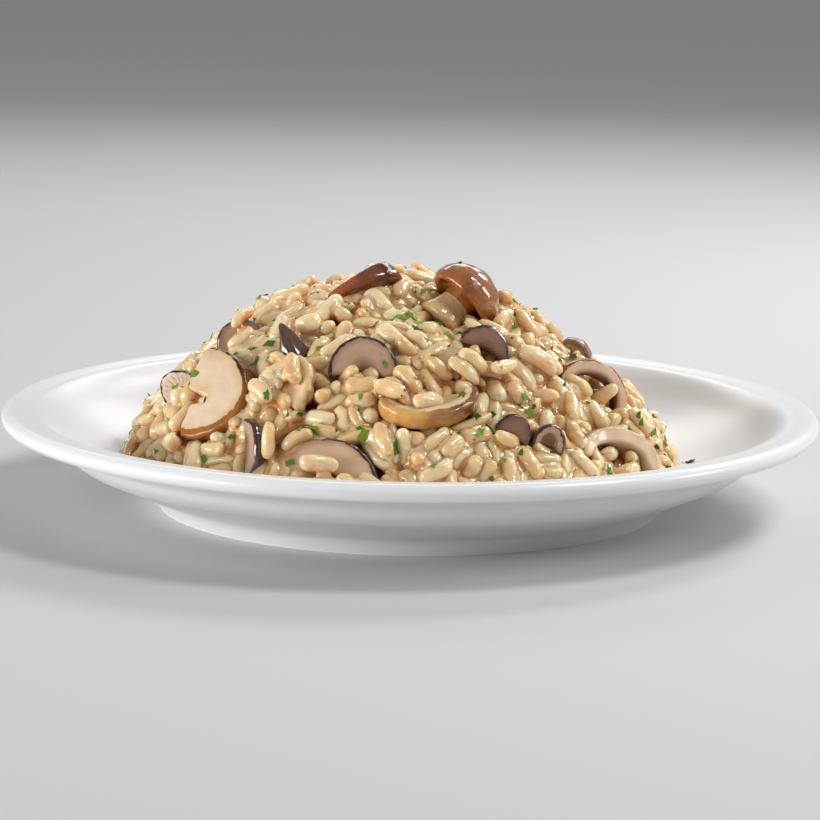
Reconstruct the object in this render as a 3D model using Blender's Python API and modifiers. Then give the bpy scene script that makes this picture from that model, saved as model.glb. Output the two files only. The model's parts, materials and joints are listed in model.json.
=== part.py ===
"""Mushroom risotto heaped on its round white plate, in metres with +Z up.

The plate stands on its foot ring at Z = 0 with its axis on the Z axis.  The rice is one heap
with a pocket for each piece of mushroom, and each mushroom piece is a solid of its own.
"""
import math
from collections import namedtuple

import bmesh
import bpy
from mathutils import Matrix, Vector, noise

MM = 0.001

# ---- Plate, as a turned section: (distance from the axis, height) ----
PLATE_RADIUS = 120 * MM
PLATE_HEIGHT = 29 * MM
LIP_ROUND = 2.5 * MM
LIP_STEPS = 6
SHOULDER_RADIUS = 108.8 * MM      # inner edge of the narrow rolled lip
SHOULDER_HEIGHT = 27.5 * MM
FLOOR_RADIUS = 55 * MM            # flat middle of the well
FLOOR_HEIGHT = 9.6 * MM
WELL_POWER = 2.84                 # how late the well's wall turns up
WELL_STEPS = 6
BELLY_RADIUS = 99.5 * MM          # rounded edge under the well's wall
BELLY_HEIGHT = 14.7 * MM
FOOT_TOP_RADIUS = 78.4 * MM
FOOT_TOP_HEIGHT = 5.2 * MM
FOOT_OUTER_RADIUS = 74.6 * MM
FOOT_INNER_RADIUS = 70.6 * MM
FOOT_CHAMFER = 0.8 * MM
BASE_HEIGHT = 4.6 * MM            # underside of the plate inside its foot ring
LIP_MIDDLE = (113.0 * MM, 28.4 * MM)
UNDER_LIP = [(110.5 * MM, 23.1 * MM), (105.0 * MM, 19.9 * MM), (102.0 * MM, 16.7 * MM)]
UNDER_BELLY = [(96.0 * MM, 12.7 * MM), (84.0 * MM, 7.5 * MM)]
PLATE_STEPS = 48

# ---- Heap of rice ----
HEAP_RADIUS = 83.5 * MM
HEAP_LEFTWARD = 2.5 * MM          # the heap reaches further out towards -X
HEAP_RISE = 53.8 * MM             # top of the heap above its edge
HEAP_POWER = 2.1
HEAP_POWER_SWAY = 0.2             # the +X side runs straighter than the -X side
HEAP_CROWN = 0.95
HEAP_SECTORS = 44
HEAP_RINGS = 13
HEAP_UNDER_RINGS = 4
LUMP_HEIGHT = 2.6 * MM
LUMP_WIDTH = 13 * MM
EDGE_WAVE = 1.6 * MM
EDGE_WAVES_ROUND = 3.1            # how closely the small waves of the edge follow each other
RING_CROWDING = 1.25              # draws the rings together near the edge
LUMPS_FADE = 6                    # the lumps fade out over the last sixth of the slope
# Local swells of the heap: (x, y, width, height); a negative height is a dip.
SWELLS = [
    (5.0 * MM, -25.0 * MM, 11 * MM, -5.5 * MM),    # in front of the whole mushroom
    (-9.0 * MM, -4.0 * MM, 13 * MM, 2.5 * MM),     # under the strip on the crown
    (26.0 * MM, -8.0 * MM, 10 * MM, 3.0 * MM),     # beside the whole mushroom
]

GAP = 0.3 * MM                    # clearance between pieces that touch
EDGE_ROUND = 0.45 * MM            # softened edge of a cut slice
ARC_STEPS = 10
MUSHROOM_STEPS = 16
DOME_STEPS = 6
JOIN_DISTANCE = 0.01 * MM
SHARPEST_CORNER = 1.6             # most that a corner moves, in face distances


def new_collection(name, hidden=False):
    collection = bpy.data.collections.new(name)
    bpy.context.scene.collection.children.link(collection)
    collection.hide_render = hidden
    return collection


def finish(name, colour, roughness):
    material = bpy.data.materials.new(name)
    material.use_nodes = True
    shader = material.node_tree.nodes["Principled BSDF"]
    shader.inputs["Base Color"].default_value = (*colour, 1.0)
    shader.inputs["Roughness"].default_value = roughness
    shader.inputs["Metallic"].default_value = 0.0
    return material


def add_object(name, mesh, collection, material=None):
    item = bpy.data.objects.new(name, mesh)
    collection.objects.link(item)
    if material:
        mesh.materials.clear()
        mesh.materials.append(material)
    for polygon in mesh.polygons:
        polygon.use_smooth = True
    return item


def evaluated_mesh(item):
    """The mesh of an object with its modifiers worked in, and its double points joined."""
    depsgraph = bpy.context.evaluated_depsgraph_get()
    mesh = bpy.data.meshes.new_from_object(item.evaluated_get(depsgraph))
    shape = bmesh.new()
    shape.from_mesh(mesh)
    bmesh.ops.remove_doubles(shape, verts=shape.verts, dist=JOIN_DISTANCE)
    bmesh.ops.recalc_face_normals(shape, faces=shape.faces)
    shape.to_mesh(mesh)
    shape.free()
    return mesh


def turned(name, section, steps, collection, material):
    """A solid turned round Z from a section that runs from the top middle to the bottom one."""
    mesh = bpy.data.meshes.new(name)
    points = [(radius, 0.0, height) for radius, height in section]
    mesh.from_pydata(points, [(i, i + 1) for i in range(len(points) - 1)], [])
    item = add_object(name, mesh, collection, material)
    screw = item.modifiers.new("Turn", "SCREW")
    screw.steps = steps
    screw.render_steps = steps
    screw.use_merge_vertices = True
    screw.merge_threshold = JOIN_DISTANCE
    screw.use_smooth_shade = True
    return item


# ---------------------------------------------------------------- plate

def well_height(radius):
    """Height of the plate's upper face inside its lip."""
    reach = max(0.0, (radius - FLOOR_RADIUS) / (SHOULDER_RADIUS - FLOOR_RADIUS))
    return FLOOR_HEIGHT + (SHOULDER_HEIGHT - FLOOR_HEIGHT) * reach ** WELL_POWER


def lip_arc():
    """Round of the lip, from its crest over the outside to its under edge."""
    centre_radius = PLATE_RADIUS - LIP_ROUND
    centre_height = PLATE_HEIGHT - LIP_ROUND
    arc = []
    for i in range(LIP_STEPS):
        angle = math.radians(90 - 180 * i / (LIP_STEPS - 1))
        arc.append((centre_radius + LIP_ROUND * math.cos(angle),
                    centre_height + LIP_ROUND * math.sin(angle)))
    return arc


def plate_section():
    well = []
    for i in range(WELL_STEPS + 1):
        radius = FLOOR_RADIUS + (SHOULDER_RADIUS - FLOOR_RADIUS) * (i / WELL_STEPS) ** 0.8
        well.append((radius, well_height(radius)))
    foot = [(FOOT_TOP_RADIUS, FOOT_TOP_HEIGHT),
            (FOOT_OUTER_RADIUS, FOOT_CHAMFER),
            (FOOT_OUTER_RADIUS - FOOT_CHAMFER, 0.0),
            (FOOT_INNER_RADIUS, 0.0),
            (FOOT_INNER_RADIUS - 2 * FOOT_CHAMFER, BASE_HEIGHT - FOOT_CHAMFER),
            (FOOT_INNER_RADIUS - 6 * FOOT_CHAMFER, BASE_HEIGHT)]
    upper = [(0.0, FLOOR_HEIGHT)] + well + [LIP_MIDDLE] + lip_arc()
    under = UNDER_LIP + [(BELLY_RADIUS, BELLY_HEIGHT)] + UNDER_BELLY
    return upper + under + foot + [(0.0, BASE_HEIGHT)]


# ---------------------------------------------------------------- heap of rice

def heap_edge(azimuth):
    """Distance of the heap's edge from the axis, smooth and without its small waves."""
    return HEAP_RADIUS - HEAP_LEFTWARD * math.cos(azimuth)


def heap_height(x, y):
    """Height of the heap's smooth upper face above the point (x, y)."""
    azimuth = math.atan2(y, x)
    edge = heap_edge(azimuth)
    share = min(1.0, math.hypot(x, y) / edge)
    power = HEAP_POWER - HEAP_POWER_SWAY * math.cos(azimuth)
    dome = HEAP_RISE * (1 - share ** power) ** HEAP_CROWN
    swell = sum(height * math.exp(-((x - cx) ** 2 + (y - cy) ** 2) / width ** 2)
                for cx, cy, width, height in SWELLS)
    return well_height(edge) + GAP + dome + swell


def heap_point(share, azimuth):
    """A point of the uneven upper face, by its share of the way out to the edge."""
    direction = Vector((math.cos(azimuth), math.sin(azimuth), 0))
    wave = noise.noise(direction * EDGE_WAVES_ROUND)
    edge = heap_edge(azimuth) + EDGE_WAVE * wave
    smooth = direction * share * heap_edge(azimuth)
    lump = noise.noise(Vector((smooth.x, smooth.y, heap_height(smooth.x, smooth.y))) / LUMP_WIDTH)
    lump *= LUMP_HEIGHT * min(1.0, LUMPS_FADE * (1 - share))
    place = direction * share * edge
    place.z = max(heap_height(smooth.x, smooth.y) + lump, well_height(place.length) + GAP)
    return place


def heap_mesh():
    """The heap: lumpy rings over the top and plain rings under it that follow the well."""
    shape = bmesh.new()
    top_shares = [1 - (1 - i / HEAP_RINGS) ** RING_CROWDING for i in range(1, HEAP_RINGS + 1)]
    under_shares = [1 - i / HEAP_UNDER_RINGS for i in range(1, HEAP_UNDER_RINGS)]
    azimuths = [2 * math.pi * i / HEAP_SECTORS for i in range(HEAP_SECTORS)]
    rings = [[shape.verts.new(heap_point(share, a)) for a in azimuths] for share in top_shares]
    for share in under_shares:
        ring = []
        for a in azimuths:
            rim = heap_point(1.0, a)
            radius = share * math.hypot(rim.x, rim.y)
            ring.append(shape.verts.new((radius * math.cos(a), radius * math.sin(a),
                                         well_height(radius) + GAP)))
        rings.append(ring)
    for inner, outer in zip(rings, rings[1:]):
        for i in range(HEAP_SECTORS):
            k = (i + 1) % HEAP_SECTORS
            shape.faces.new((inner[i], outer[i], outer[k], inner[k]))
    summit = shape.verts.new(heap_point(0.0, 0.0))
    middle = shape.verts.new((0, 0, FLOOR_HEIGHT + GAP))
    for i in range(HEAP_SECTORS):
        k = (i + 1) % HEAP_SECTORS
        shape.faces.new((summit, rings[0][i], rings[0][k]))
        shape.faces.new((middle, rings[-1][k], rings[-1][i]))
    bmesh.ops.recalc_face_normals(shape, faces=shape.faces)
    mesh = bpy.data.meshes.new("risotto")
    shape.to_mesh(mesh)
    shape.free()
    return mesh


# ---------------------------------------------------------------- mushroom outlines
# Each outline lies in XY: X runs along the slice, and +Y points to the skin side.

def skin_arc(span, rise, start=0.0, end=180.0):
    """Half an ellipse of skin, from the +X end over the top to the -X end."""
    arc = []
    for i in range(ARC_STEPS + 1):
        angle = math.radians(start + (end - start) * i / ARC_STEPS)
        arc.append((span / 2 * math.cos(angle), rise * math.sin(angle)))
    return arc


def half_outline(span, rise):
    """Slice of a cap cut off straight under its gills, with a slightly hollow base."""
    base = [(-0.44 * span, -0.06 * rise), (0.0, 0.10 * rise), (0.44 * span, -0.06 * rise)]
    return skin_arc(span, rise) + base


def arch_outline(span, rise):
    """Slice of a cap whose middle has fallen out: an arch with blunt, curled ends."""
    band = 0.46 * rise
    end_band = min(0.85 * band, 0.24 * span)
    inner_span = span - 2 * end_band
    inner = [(x, y) for x, y in reversed(skin_arc(inner_span, rise - band))][::2]
    left_end = [(-span / 2 + 0.15 * end_band, -0.12 * rise),
                (-span / 2 + 0.8 * end_band, -0.14 * rise)]
    right_end = [(-x, y) for x, y in reversed(left_end)]
    return skin_arc(span, rise) + left_end + inner + right_end


def notched_outline(span, rise):
    """Thick slice of a cap with a notch where the stem came off."""
    base = [(-0.46 * span, -0.10 * rise), (-0.20 * span, -0.22 * rise), (-0.02 * span, -0.20 * rise),
            (0.04 * span, 0.22 * rise), (0.09 * span, 0.24 * rise), (0.14 * span, -0.04 * rise),
            (0.36 * span, -0.10 * rise), (0.47 * span, -0.04 * rise)]
    return skin_arc(span, rise) + base


def hook_outline(span, rise):
    """Slice of a cap that tapers to -X and curls in to a round lobe at +X."""
    base = [(-0.47 * span, -0.08 * rise), (-0.34 * span, 0.06 * rise), (-0.15 * span, 0.30 * rise),
            (0.06 * span, 0.36 * rise), (0.17 * span, 0.18 * rise), (0.20 * span, -0.10 * rise),
            (0.31 * span, -0.24 * rise), (0.44 * span, -0.14 * rise)]
    return skin_arc(span, rise) + base


def wedge_outline(length, width):
    """Quarter of a cap: a rounded base at -X that tapers to a blunt point at +X."""
    side = []
    for i in range(ARC_STEPS // 2 + 1):
        share = i / (ARC_STEPS // 2)
        half_width = width / 2 * (1 - 0.9 * share ** 1.6) * min(1.0, 0.55 + 3 * share)
        side.append((length * (share - 0.5), half_width))
    under = [(x, -y) for x, y in side]
    return under + list(reversed(side))


OUTLINES = {"half": half_outline, "arch": arch_outline, "hook": hook_outline,
            "notched": notched_outline, "wedge": wedge_outline}


def slice_mesh(name, outline, thickness, edge_round):
    """A flat outline given its thickness, with softened edges, centred on its own middle."""
    low = Vector((min(x for x, _ in outline), min(y for _, y in outline), 0))
    high = Vector((max(x for x, _ in outline), max(y for _, y in outline), 0))
    middle = (low + high) / 2
    curve = bpy.data.curves.new(name, "CURVE")
    curve.dimensions = "2D"
    curve.fill_mode = "BOTH"
    curve.bevel_depth = edge_round
    curve.bevel_resolution = 0
    curve.offset = -edge_round
    curve.extrude = thickness / 2 - edge_round
    spline = curve.splines.new("POLY")
    spline.points.add(len(outline) - 1)
    for point, (x, y) in zip(spline.points, outline):
        point.co = (x - middle.x, y - middle.y, 0, 1)
    spline.use_cyclic_u = True
    holder = bpy.data.objects.new(name + "_outline", curve)
    bpy.context.scene.collection.objects.link(holder)
    mesh = evaluated_mesh(holder)
    bpy.data.objects.remove(holder)
    return mesh


def whole_mushroom_section(cap_width, cap_height, stem_length):
    """Small whole mushroom on its axis: dome, inrolled rim, hollow under it, cut stem."""
    cap_radius = cap_width / 2
    stem_radius = 0.5 * cap_radius
    angles = [math.radians(90 * i / (DOME_STEPS - 1)) for i in range(DOME_STEPS)]
    dome = [(cap_radius * math.sin(a), cap_height * math.cos(a)) for a in angles]
    rim = [(0.96 * cap_radius, -0.20 * cap_height), (0.82 * cap_radius, -0.25 * cap_height),
           (0.72 * cap_radius, -0.08 * cap_height)]
    stem = [(stem_radius, 0.04 * cap_height), (0.9 * stem_radius, -0.5 * stem_length),
            (stem_radius, -0.93 * stem_length), (0.84 * stem_radius, -stem_length)]
    return dome + rim + stem + [(0.0, -stem_length)]


# ---------------------------------------------------------------- mushroom pieces
# Finishes: (colour, roughness).
FINISHES = {
    "glaze": ((0.86, 0.86, 0.87), 0.12),
    "rice": ((0.62, 0.46, 0.29), 0.35),
    "purple": ((0.24, 0.15, 0.13), 0.35),
    "brown": ((0.36, 0.19, 0.09), 0.35),
    "pale": ((0.55, 0.40, 0.27), 0.45),
}

Piece = namedtuple("Piece", "name kind finish size place along skin")

# size: span, rise and thickness in mm.  place: x, y and the lift above the heap's smooth face,
# in mm.  along: the way the slice runs.  skin: the way its skin side points.
PIECES = [
    # on top and facing -Y
    Piece("whole_cap", "whole", "brown", (22.4, 9.6, 11.5), (15.0, -12.5, 0.0),
          (1, 0, -1), (0.68, 0.38, 0.58)),
    Piece("crown_strip", "half", "brown", (25.5, 5.5, 5.4), (-14.0, -12.0, 0.6),
          (0.82, 0.48, 0.28), (0.1, -0.5, 0.8)),
    Piece("shoulder_slice", "half", "purple", (16, 9, 3.6), (-50.5, -18.0, 1.8),
          (0.8, 0.1, 0.6), (-0.6, 0, 0.8)),
    Piece("pointed_cap", "wedge", "purple", (12.5, 9, 4.5), (-34.5, -36.0, 1.5),
          (-0.45, 0.45, 0.77), (-0.9, 0, -0.4)),
    Piece("center_arch", "hook", "purple", (20, 10.5, 4.0), (-13.7, -48.0, 0.4),
          (0.98, 0, 0.12), (0.1, 0.45, 0.88)),
    Piece("big_slice", "notched", "brown", (28, 18, 7.0), (-53.5, -42.0, 1.5),
          (-0.3, -0.35, -0.88), (0.75, -0.6, 0)),
    Piece("gill_slice", "half", "brown", (12, 8, 3.4), (-68.5, -15.0, 2.0),
          (0.67, 0.1, 0.74), (-0.74, 0, 0.67)),
    Piece("edge_strip", "half", "purple", (18, 7, 3.4), (-43.0, -62.0, 0.9),
          (-0.05, 0.4, 0.9), (0.55, -0.8, 0.3)),
    Piece("front_slice", "half", "purple", (26.5, 11, 4.0), (-20.0, -72.5, 0.6),
          (0.96, 0, -0.27), (0.25, 0.45, 0.86)),
    Piece("smile_arch", "arch", "brown", (29, 10.5, 5.0), (6.2, -61.7, 0.6),
          (0.95, 0.28, 0.1), (0.05, -0.88, -0.47)),
    Piece("plum_slice", "half", "purple", (15, 7, 4.0), (21.5, -36.0, 2.0),
          (0.92, -0.1, -0.38), (0.37, 0.35, 0.86)),
    Piece("grey_slice", "half", "purple", (11, 6.5, 3.4), (29.5, -58.5, 0.5),
          (0.84, 0.1, -0.53), (0.5, 0.25, 0.83)),
    Piece("small_curl", "arch", "purple", (10, 6.2, 4.2), (39.0, -56.0, 0.7),
          (0.93, 0.1, -0.35), (0.33, 0.3, 0.9)),
    Piece("right_arch", "arch", "brown", (25, 10.5, 4.0), (53.2, -23.0, 2.0),
          (0.8, 0.35, -0.5), (0.42, 0.3, 0.85)),
    Piece("skyline_slice", "half", "brown", (12, 5, 4.0), (49.5, -6.0, 1.2),
          (0.6, -0.15, -0.78), (0.7, -0.2, 0.65)),
    Piece("low_arch", "arch", "pale", (25.5, 9.8, 6.0), (58.7, -42.5, 1.2),
          (0.9, 0.36, -0.25), (0.1, 0.55, 0.85)),
    Piece("sauced_slice", "half", "pale", (18, 12, 4.0), (-33.0, -49.5, 0.8),
          (0.64, -0.68, -0.23), (0.55, 0.25, 0.8)),
    Piece("grey_flat", "half", "pale", (9.5, 8.5, 3.4), (12.0, -46.5, 0.5),
          (0.79, -0.37, -0.48), (0.6, 0.35, 0.72)),
    Piece("grey_chip", "half", "pale", (10.5, 4.5, 3.4), (21.0, -45.5, 0.5),
          (0.95, 0, -0.2), (0.2, 0.3, 0.9)),
    Piece("amber_sliver", "half", "brown", (14, 4, 2.6), (-34.0, -62.5, 0.4),
          (0.9, 0.1, 0.35), (-0.3, -0.6, 0.7)),
    # round the sides and the back
    Piece("back_arch", "arch", "purple", (23, 12, 4.0), (-18.0, 50.0, 0.8),
          (-0.95, -0.12, -0.23), (-0.1, -0.65, 0.75)),
    Piece("back_half", "notched", "brown", (24, 13, 5.0), (22.0, 56.0, 0.8),
          (-0.65, 0.5, -0.25), (-0.5, -0.35, 0.6)),
    Piece("back_slice", "half", "purple", (22, 10, 4.0), (-43.0, 54.0, 0.6),
          (-0.62, -0.46, -0.04), (0.3, -0.45, 0.55)),
    Piece("back_point", "wedge", "purple", (14, 8, 4.5), (6.0, 34.0, 0.4),
          (0.8, 0.3, -0.37), (-0.44, 0.75, -0.34)),
    Piece("left_arch", "hook", "brown", (22, 11, 4.2), (-54.0, 30.0, 0.5),
          (-0.39, -0.88, -0.2), (0.5, -0.4, 0.77)),
    Piece("right_half", "half", "pale", (21, 12, 4.5), (58.0, 33.0, 0.6),
          (-0.35, 0.75, -0.2), (-0.5, -0.05, 0.66)),
    Piece("back_strip", "half", "brown", (20, 7, 5.0), (40.0, 52.0, 0.5),
          (0.7, -0.6, -0.07), (0.5, 0.5, 0.7)),
    Piece("left_slice", "half", "purple", (15, 8, 3.6), (-70.0, 22.0, 0.3),
          (-0.54, -0.81, -0.3), (0.3, -0.5, 0.83)),
    Piece("back_low", "half", "purple", (13, 8, 3.6), (-2.0, 70.0, 0.5),
          (-0.84, -0.3, 0.4), (0.5, -0.5, 0.67)),
]


def piece_rotation(along, skin, on_axis=False):
    """Rotation that lays X along the piece, with +Y (+Z for a turned piece) to its skin side."""
    x_axis = Vector(along).normalized()
    if on_axis:
        z_axis = Vector(skin).normalized()
        y_axis = z_axis.cross(x_axis).normalized()
        x_axis = y_axis.cross(z_axis)
    else:
        z_axis = x_axis.cross(Vector(skin)).normalized()
        y_axis = z_axis.cross(x_axis)
    return Matrix((x_axis, y_axis, z_axis)).transposed()


def piece_mesh(piece, edge_round=EDGE_ROUND):
    span, rise, thickness = (value * MM for value in piece.size)
    if piece.kind == "whole":
        section = whole_mushroom_section(span, rise, stem_length=thickness)
        holder = turned(piece.name, section, MUSHROOM_STEPS, bpy.context.scene.collection, None)
        mesh = evaluated_mesh(holder)
        bpy.data.objects.remove(holder)
        return mesh
    return slice_mesh(piece.name, OUTLINES[piece.kind](span, rise), thickness, edge_round)


def lay_piece(piece, mesh, name, collection, material=None):
    """An object of the mesh, laid on the heap at the piece's place."""
    item = add_object(name, mesh, collection, material)
    x, y, lift = (value * MM for value in piece.place)
    item.location = (x, y, heap_height(x, y) + lift)
    item.rotation_euler = piece_rotation(piece.along, piece.skin, piece.kind == "whole").to_euler()
    return item


def grown_copy(mesh, distance):
    """A copy of a closed mesh with every face moved outwards by the distance."""
    shape = bmesh.new()
    shape.from_mesh(mesh)
    shape.normal_update()
    moves = [vert.normal * distance * min(vert.calc_shell_factor(), SHARPEST_CORNER)
             for vert in shape.verts]
    for vert, move in zip(shape.verts, moves):
        vert.co += move
    grown = bpy.data.meshes.new(mesh.name + "_grown")
    shape.to_mesh(grown)
    shape.free()
    return grown


def keep_largest_body(mesh):
    """Drop the crumbs that a cut leaves beside the main body."""
    shape = bmesh.new()
    shape.from_mesh(mesh)
    waiting = set(shape.verts)
    bodies = []
    while waiting:
        body = {waiting.pop()}
        edge_of_body = list(body)
        while edge_of_body:
            vert = edge_of_body.pop()
            for edge in vert.link_edges:
                other = edge.other_vert(vert)
                if other not in body:
                    body.add(other)
                    edge_of_body.append(other)
        waiting -= body
        bodies.append(body)
    main = max(bodies, key=len)
    bmesh.ops.delete(shape, geom=[vert for vert in shape.verts if vert not in main], context="VERTS")
    shape.to_mesh(mesh)
    shape.free()


def cut_heap(cutters, collection, material):
    """The heap of rice with a pocket round each mushroom piece."""
    whole = add_object("whole_heap", heap_mesh(), bpy.context.scene.collection)
    cut = whole.modifiers.new("Pockets", "BOOLEAN")
    cut.operation = "DIFFERENCE"
    cut.solver = "EXACT"
    cut.operand_type = "COLLECTION"
    cut.collection = cutters
    mesh = evaluated_mesh(whole)
    bpy.data.objects.remove(whole)
    keep_largest_body(mesh)
    return add_object("risotto", mesh, collection, material)


def build():
    for item in list(bpy.data.objects):
        bpy.data.objects.remove(item, do_unlink=True)
    dish = new_collection("mushroom_risotto")
    cutters = new_collection("pocket_cutters", hidden=True)
    turned("plate", plate_section(), PLATE_STEPS, dish, finish("plate_glaze", *FINISHES["glaze"]))
    for piece in PIECES:
        mesh = piece_mesh(piece)
        sharp = piece_mesh(piece, edge_round=0.0)
        cutter = lay_piece(piece, grown_copy(sharp, GAP), piece.name + "_pocket", cutters)
        cutter.hide_render = True
        cutter.display_type = "WIRE"
        lay_piece(piece, mesh, piece.name, dish, finish(piece.name + "_look", *FINISHES[piece.finish]))
    cut_heap(cutters, dish, finish("rice_look", *FINISHES["rice"]))


build()
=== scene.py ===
# %% [markdown]
# # Mushroom risotto, heaped on a round white plate
#
# This lesson dresses a finished frame.  The frame holds the dish at its true size: a plate, one
# solid for the heap of rice, and one solid for each piece of mushroom.  Here the plate becomes
# glazed china, the heap becomes single grains of rice in their sauce, and each mushroom solid
# becomes a wet, browned slice.  Nothing in the frame is moved.

# %% Load the frame
import json
import math
import random
from collections import Counter

import bmesh
import bpy
import numpy as np
from mathutils import Matrix, Vector, noise
from mathutils.bvhtree import BVHTree


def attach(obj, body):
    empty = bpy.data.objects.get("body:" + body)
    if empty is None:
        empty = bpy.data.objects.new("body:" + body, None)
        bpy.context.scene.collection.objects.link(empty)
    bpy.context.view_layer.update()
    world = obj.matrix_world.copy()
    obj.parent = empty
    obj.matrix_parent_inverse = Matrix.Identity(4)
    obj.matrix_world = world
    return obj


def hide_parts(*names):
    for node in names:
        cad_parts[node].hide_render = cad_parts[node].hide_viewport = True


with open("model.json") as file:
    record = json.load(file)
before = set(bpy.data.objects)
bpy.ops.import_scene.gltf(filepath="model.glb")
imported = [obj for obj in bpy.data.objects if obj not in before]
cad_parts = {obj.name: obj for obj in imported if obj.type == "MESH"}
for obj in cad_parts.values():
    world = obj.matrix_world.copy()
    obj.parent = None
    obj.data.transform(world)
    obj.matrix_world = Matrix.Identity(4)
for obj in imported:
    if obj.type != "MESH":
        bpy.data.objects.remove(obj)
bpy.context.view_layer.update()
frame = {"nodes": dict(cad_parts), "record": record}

MM = 0.001
WHITE = (1, 1, 1)

# %% [markdown]
# ## The camera
# A dish is often shown from just above the table, so that the heap stands up against the far rim.
# The camera is an object like any other: three axes and a place.  Its matrix is built from the
# direction it looks in, with a slight roll, and a long lens keeps the plate's ellipse calm.

# %% Place the camera
CAMERA_ELEVATION = math.radians(10.085)
CAMERA_DISTANCE = 1.0
CAMERA_ROLL = math.radians(0.869)
CAMERA_TARGET = Vector((0, 0, 0.029))
SENSOR = 36.0
LENS_PER_SENSOR = 4.1277


def add_object(name, data):
    """Puts a mesh, a light or a camera into the scene."""
    item = bpy.data.objects.new(name, data)
    bpy.context.scene.collection.objects.link(item)
    return item


def aim(direction, roll):
    """A camera's rotation, looking along the direction, with its right side rolled down."""
    forward = direction.normalized()
    right = forward.cross(Vector((0, 0, 1))).normalized()
    up = right.cross(forward)
    turned_right = right * math.cos(roll) + up * math.sin(roll)
    turned_up = up * math.cos(roll) - right * math.sin(roll)
    return Matrix((turned_right, turned_up, -forward)).transposed()


to_camera = Vector((0, -math.cos(CAMERA_ELEVATION), math.sin(CAMERA_ELEVATION)))
camera_data = bpy.data.cameras.new("dish_camera")
camera_data.sensor_width = SENSOR
camera_data.lens = SENSOR * LENS_PER_SENSOR
camera_data.shift_x = -0.0006
camera_data.shift_y = -0.0054
camera = add_object("dish_camera", camera_data)
camera.matrix_world = (Matrix.Translation(CAMERA_TARGET + to_camera * CAMERA_DISTANCE)
                       @ aim(-to_camera, CAMERA_ROLL).to_4x4())
bpy.context.scene.camera = camera
print("lens in mm:", round(camera_data.lens, 1))

# %% [markdown]
# ## The floor and the light
# Food looks fresh under large soft lights: a wide one fills the shadows, and a smaller one from
# behind puts bright edges on everything wet.  Area lights do both.  The floor is one plain pale
# sheet, and it throws light back up under the plate.

# %% Floor and lights
FLOOR_REACH = 6.0
LIT_PLACE = Vector((0, 0, 0.03))


def surface_of(material):
    """The sockets of the material's Principled shader."""
    return material.node_tree.nodes["Principled BSDF"].inputs


def principled(name, colour, roughness, **settings):
    """A Principled material whose even settings sit on the shader's own sockets."""
    material = bpy.data.materials.new(name)
    material.use_nodes = True
    surface_of(material)["Base Color"].default_value = (*colour, 1.0)
    surface_of(material)["Roughness"].default_value = roughness
    for key, value in settings.items():
        surface_of(material)[key.replace("_", " ")].default_value = value
    return material


def soft_light(name, place, size, power):
    """A white area light that faces the middle of the heap."""
    light = bpy.data.lights.new(name, "AREA")
    light.shape = "RECTANGLE"
    light.size, light.size_y = size
    light.energy = power
    item = add_object(name, light)
    item.location = place
    item.rotation_euler = (LIT_PLACE - Vector(place)).to_track_quat("-Z", "Y").to_euler()


floor_mesh = bpy.data.meshes.new("floor")
floor_mesh.from_pydata([(x * FLOOR_REACH, y * FLOOR_REACH, 0)
                        for x, y in ((-1, -1), (1, -1), (1, 1), (-1, 1))], [], [(0, 1, 2, 3)])
floor = add_object("floor", floor_mesh)
floor_mesh.materials.append(principled("floor_paper", (0.62, 0.62, 0.62), 0.9))

world = bpy.data.worlds.new("studio_air")
bpy.context.scene.world = world
world.use_nodes = True
air = world.node_tree.nodes["Background"].inputs
air["Color"].default_value = (1.0, 1.0, 1.0, 1.0)
air["Strength"].default_value = 0.30
soft_light("low_fill", (-1.0, -0.4, 0.16), (0.9, 0.25), 9.6)
soft_light("main_light", (0.55, -0.15, 0.9), (0.30, 0.30), 4.3)
soft_light("side_light", (1.0, -0.1, 0.45), (0.26, 0.26), 2.6)
soft_light("edge_light", (0.55, 0.55, 0.60), (0.22, 0.22), 3.1)
soft_light("back_light", (0.0, 1.0, 0.6), (0.8, 0.3), 2.2)
bpy.context.scene.view_settings.view_transform = "Standard"

# %% [markdown]
# ## The plate
# A coupe plate is turned on a wheel: one section, spun round the axis.  The frame's plate is
# already that shape with flat facets, so its own section is read back, drawn through with a
# smooth spline, and spun again in fine steps.  Glaze pools a little, which the bump shows.

# %% Read the plate's section
NEAR = 0.05


def read_points(mesh, key="co"):
    """The mesh's points, or with "normal" the way it faces at each, as rows of x, y and z."""
    values = np.empty(len(mesh.vertices) * 3)
    mesh.vertices.foreach_get(key, values)
    return values.reshape(-1, 3)


def node_points(node_name):
    """The points of a frame node, in mm."""
    return read_points(frame["nodes"][node_name].data) / MM


def search_tree(items):
    """One tree over the surfaces of some objects, in place, for rays and nearest points."""
    places, faces = [], []
    for item in items:
        first = len(places)
        places += [item.matrix_world @ vert.co for vert in item.data.vertices]
        faces += [[first + i for i in polygon.vertices] for polygon in item.data.polygons]
    return BVHTree.FromPolygons(places, faces)


def node_tree(*node_names):
    return search_tree([frame["nodes"][node_name] for node_name in node_names])


def plate_section():
    """The corners of the plate's section, from the top's middle round the lip to the foot."""
    places = node_points("plate")
    on_x = places[(abs(places[:, 1]) < NEAR) & (places[:, 0] > 0)]
    corners = sorted({(round(x, 2), round(z, 2)) for x, _, z in on_x.tolist()})
    china = node_tree("plate")
    open_above = [china.ray_cast(Vector((r, 0, z + NEAR)) * MM, Vector((0, 0, 1)))[0] is None
                  for r, z in corners]
    crest = max(corners, key=lambda corner: corner[1])
    upper = [c for c, is_open in zip(corners, open_above) if is_open and c[0] <= crest[0]]
    lip = [c for c in corners if c[0] > crest[0]]
    under = [c for c in corners if c not in upper and c not in lip]
    return (sorted(upper) + sorted(lip, key=lambda corner: -corner[1])
            + sorted(under, key=lambda corner: -corner[0]))


section = plate_section()
print("plate section, corners in mm:", section)

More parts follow.
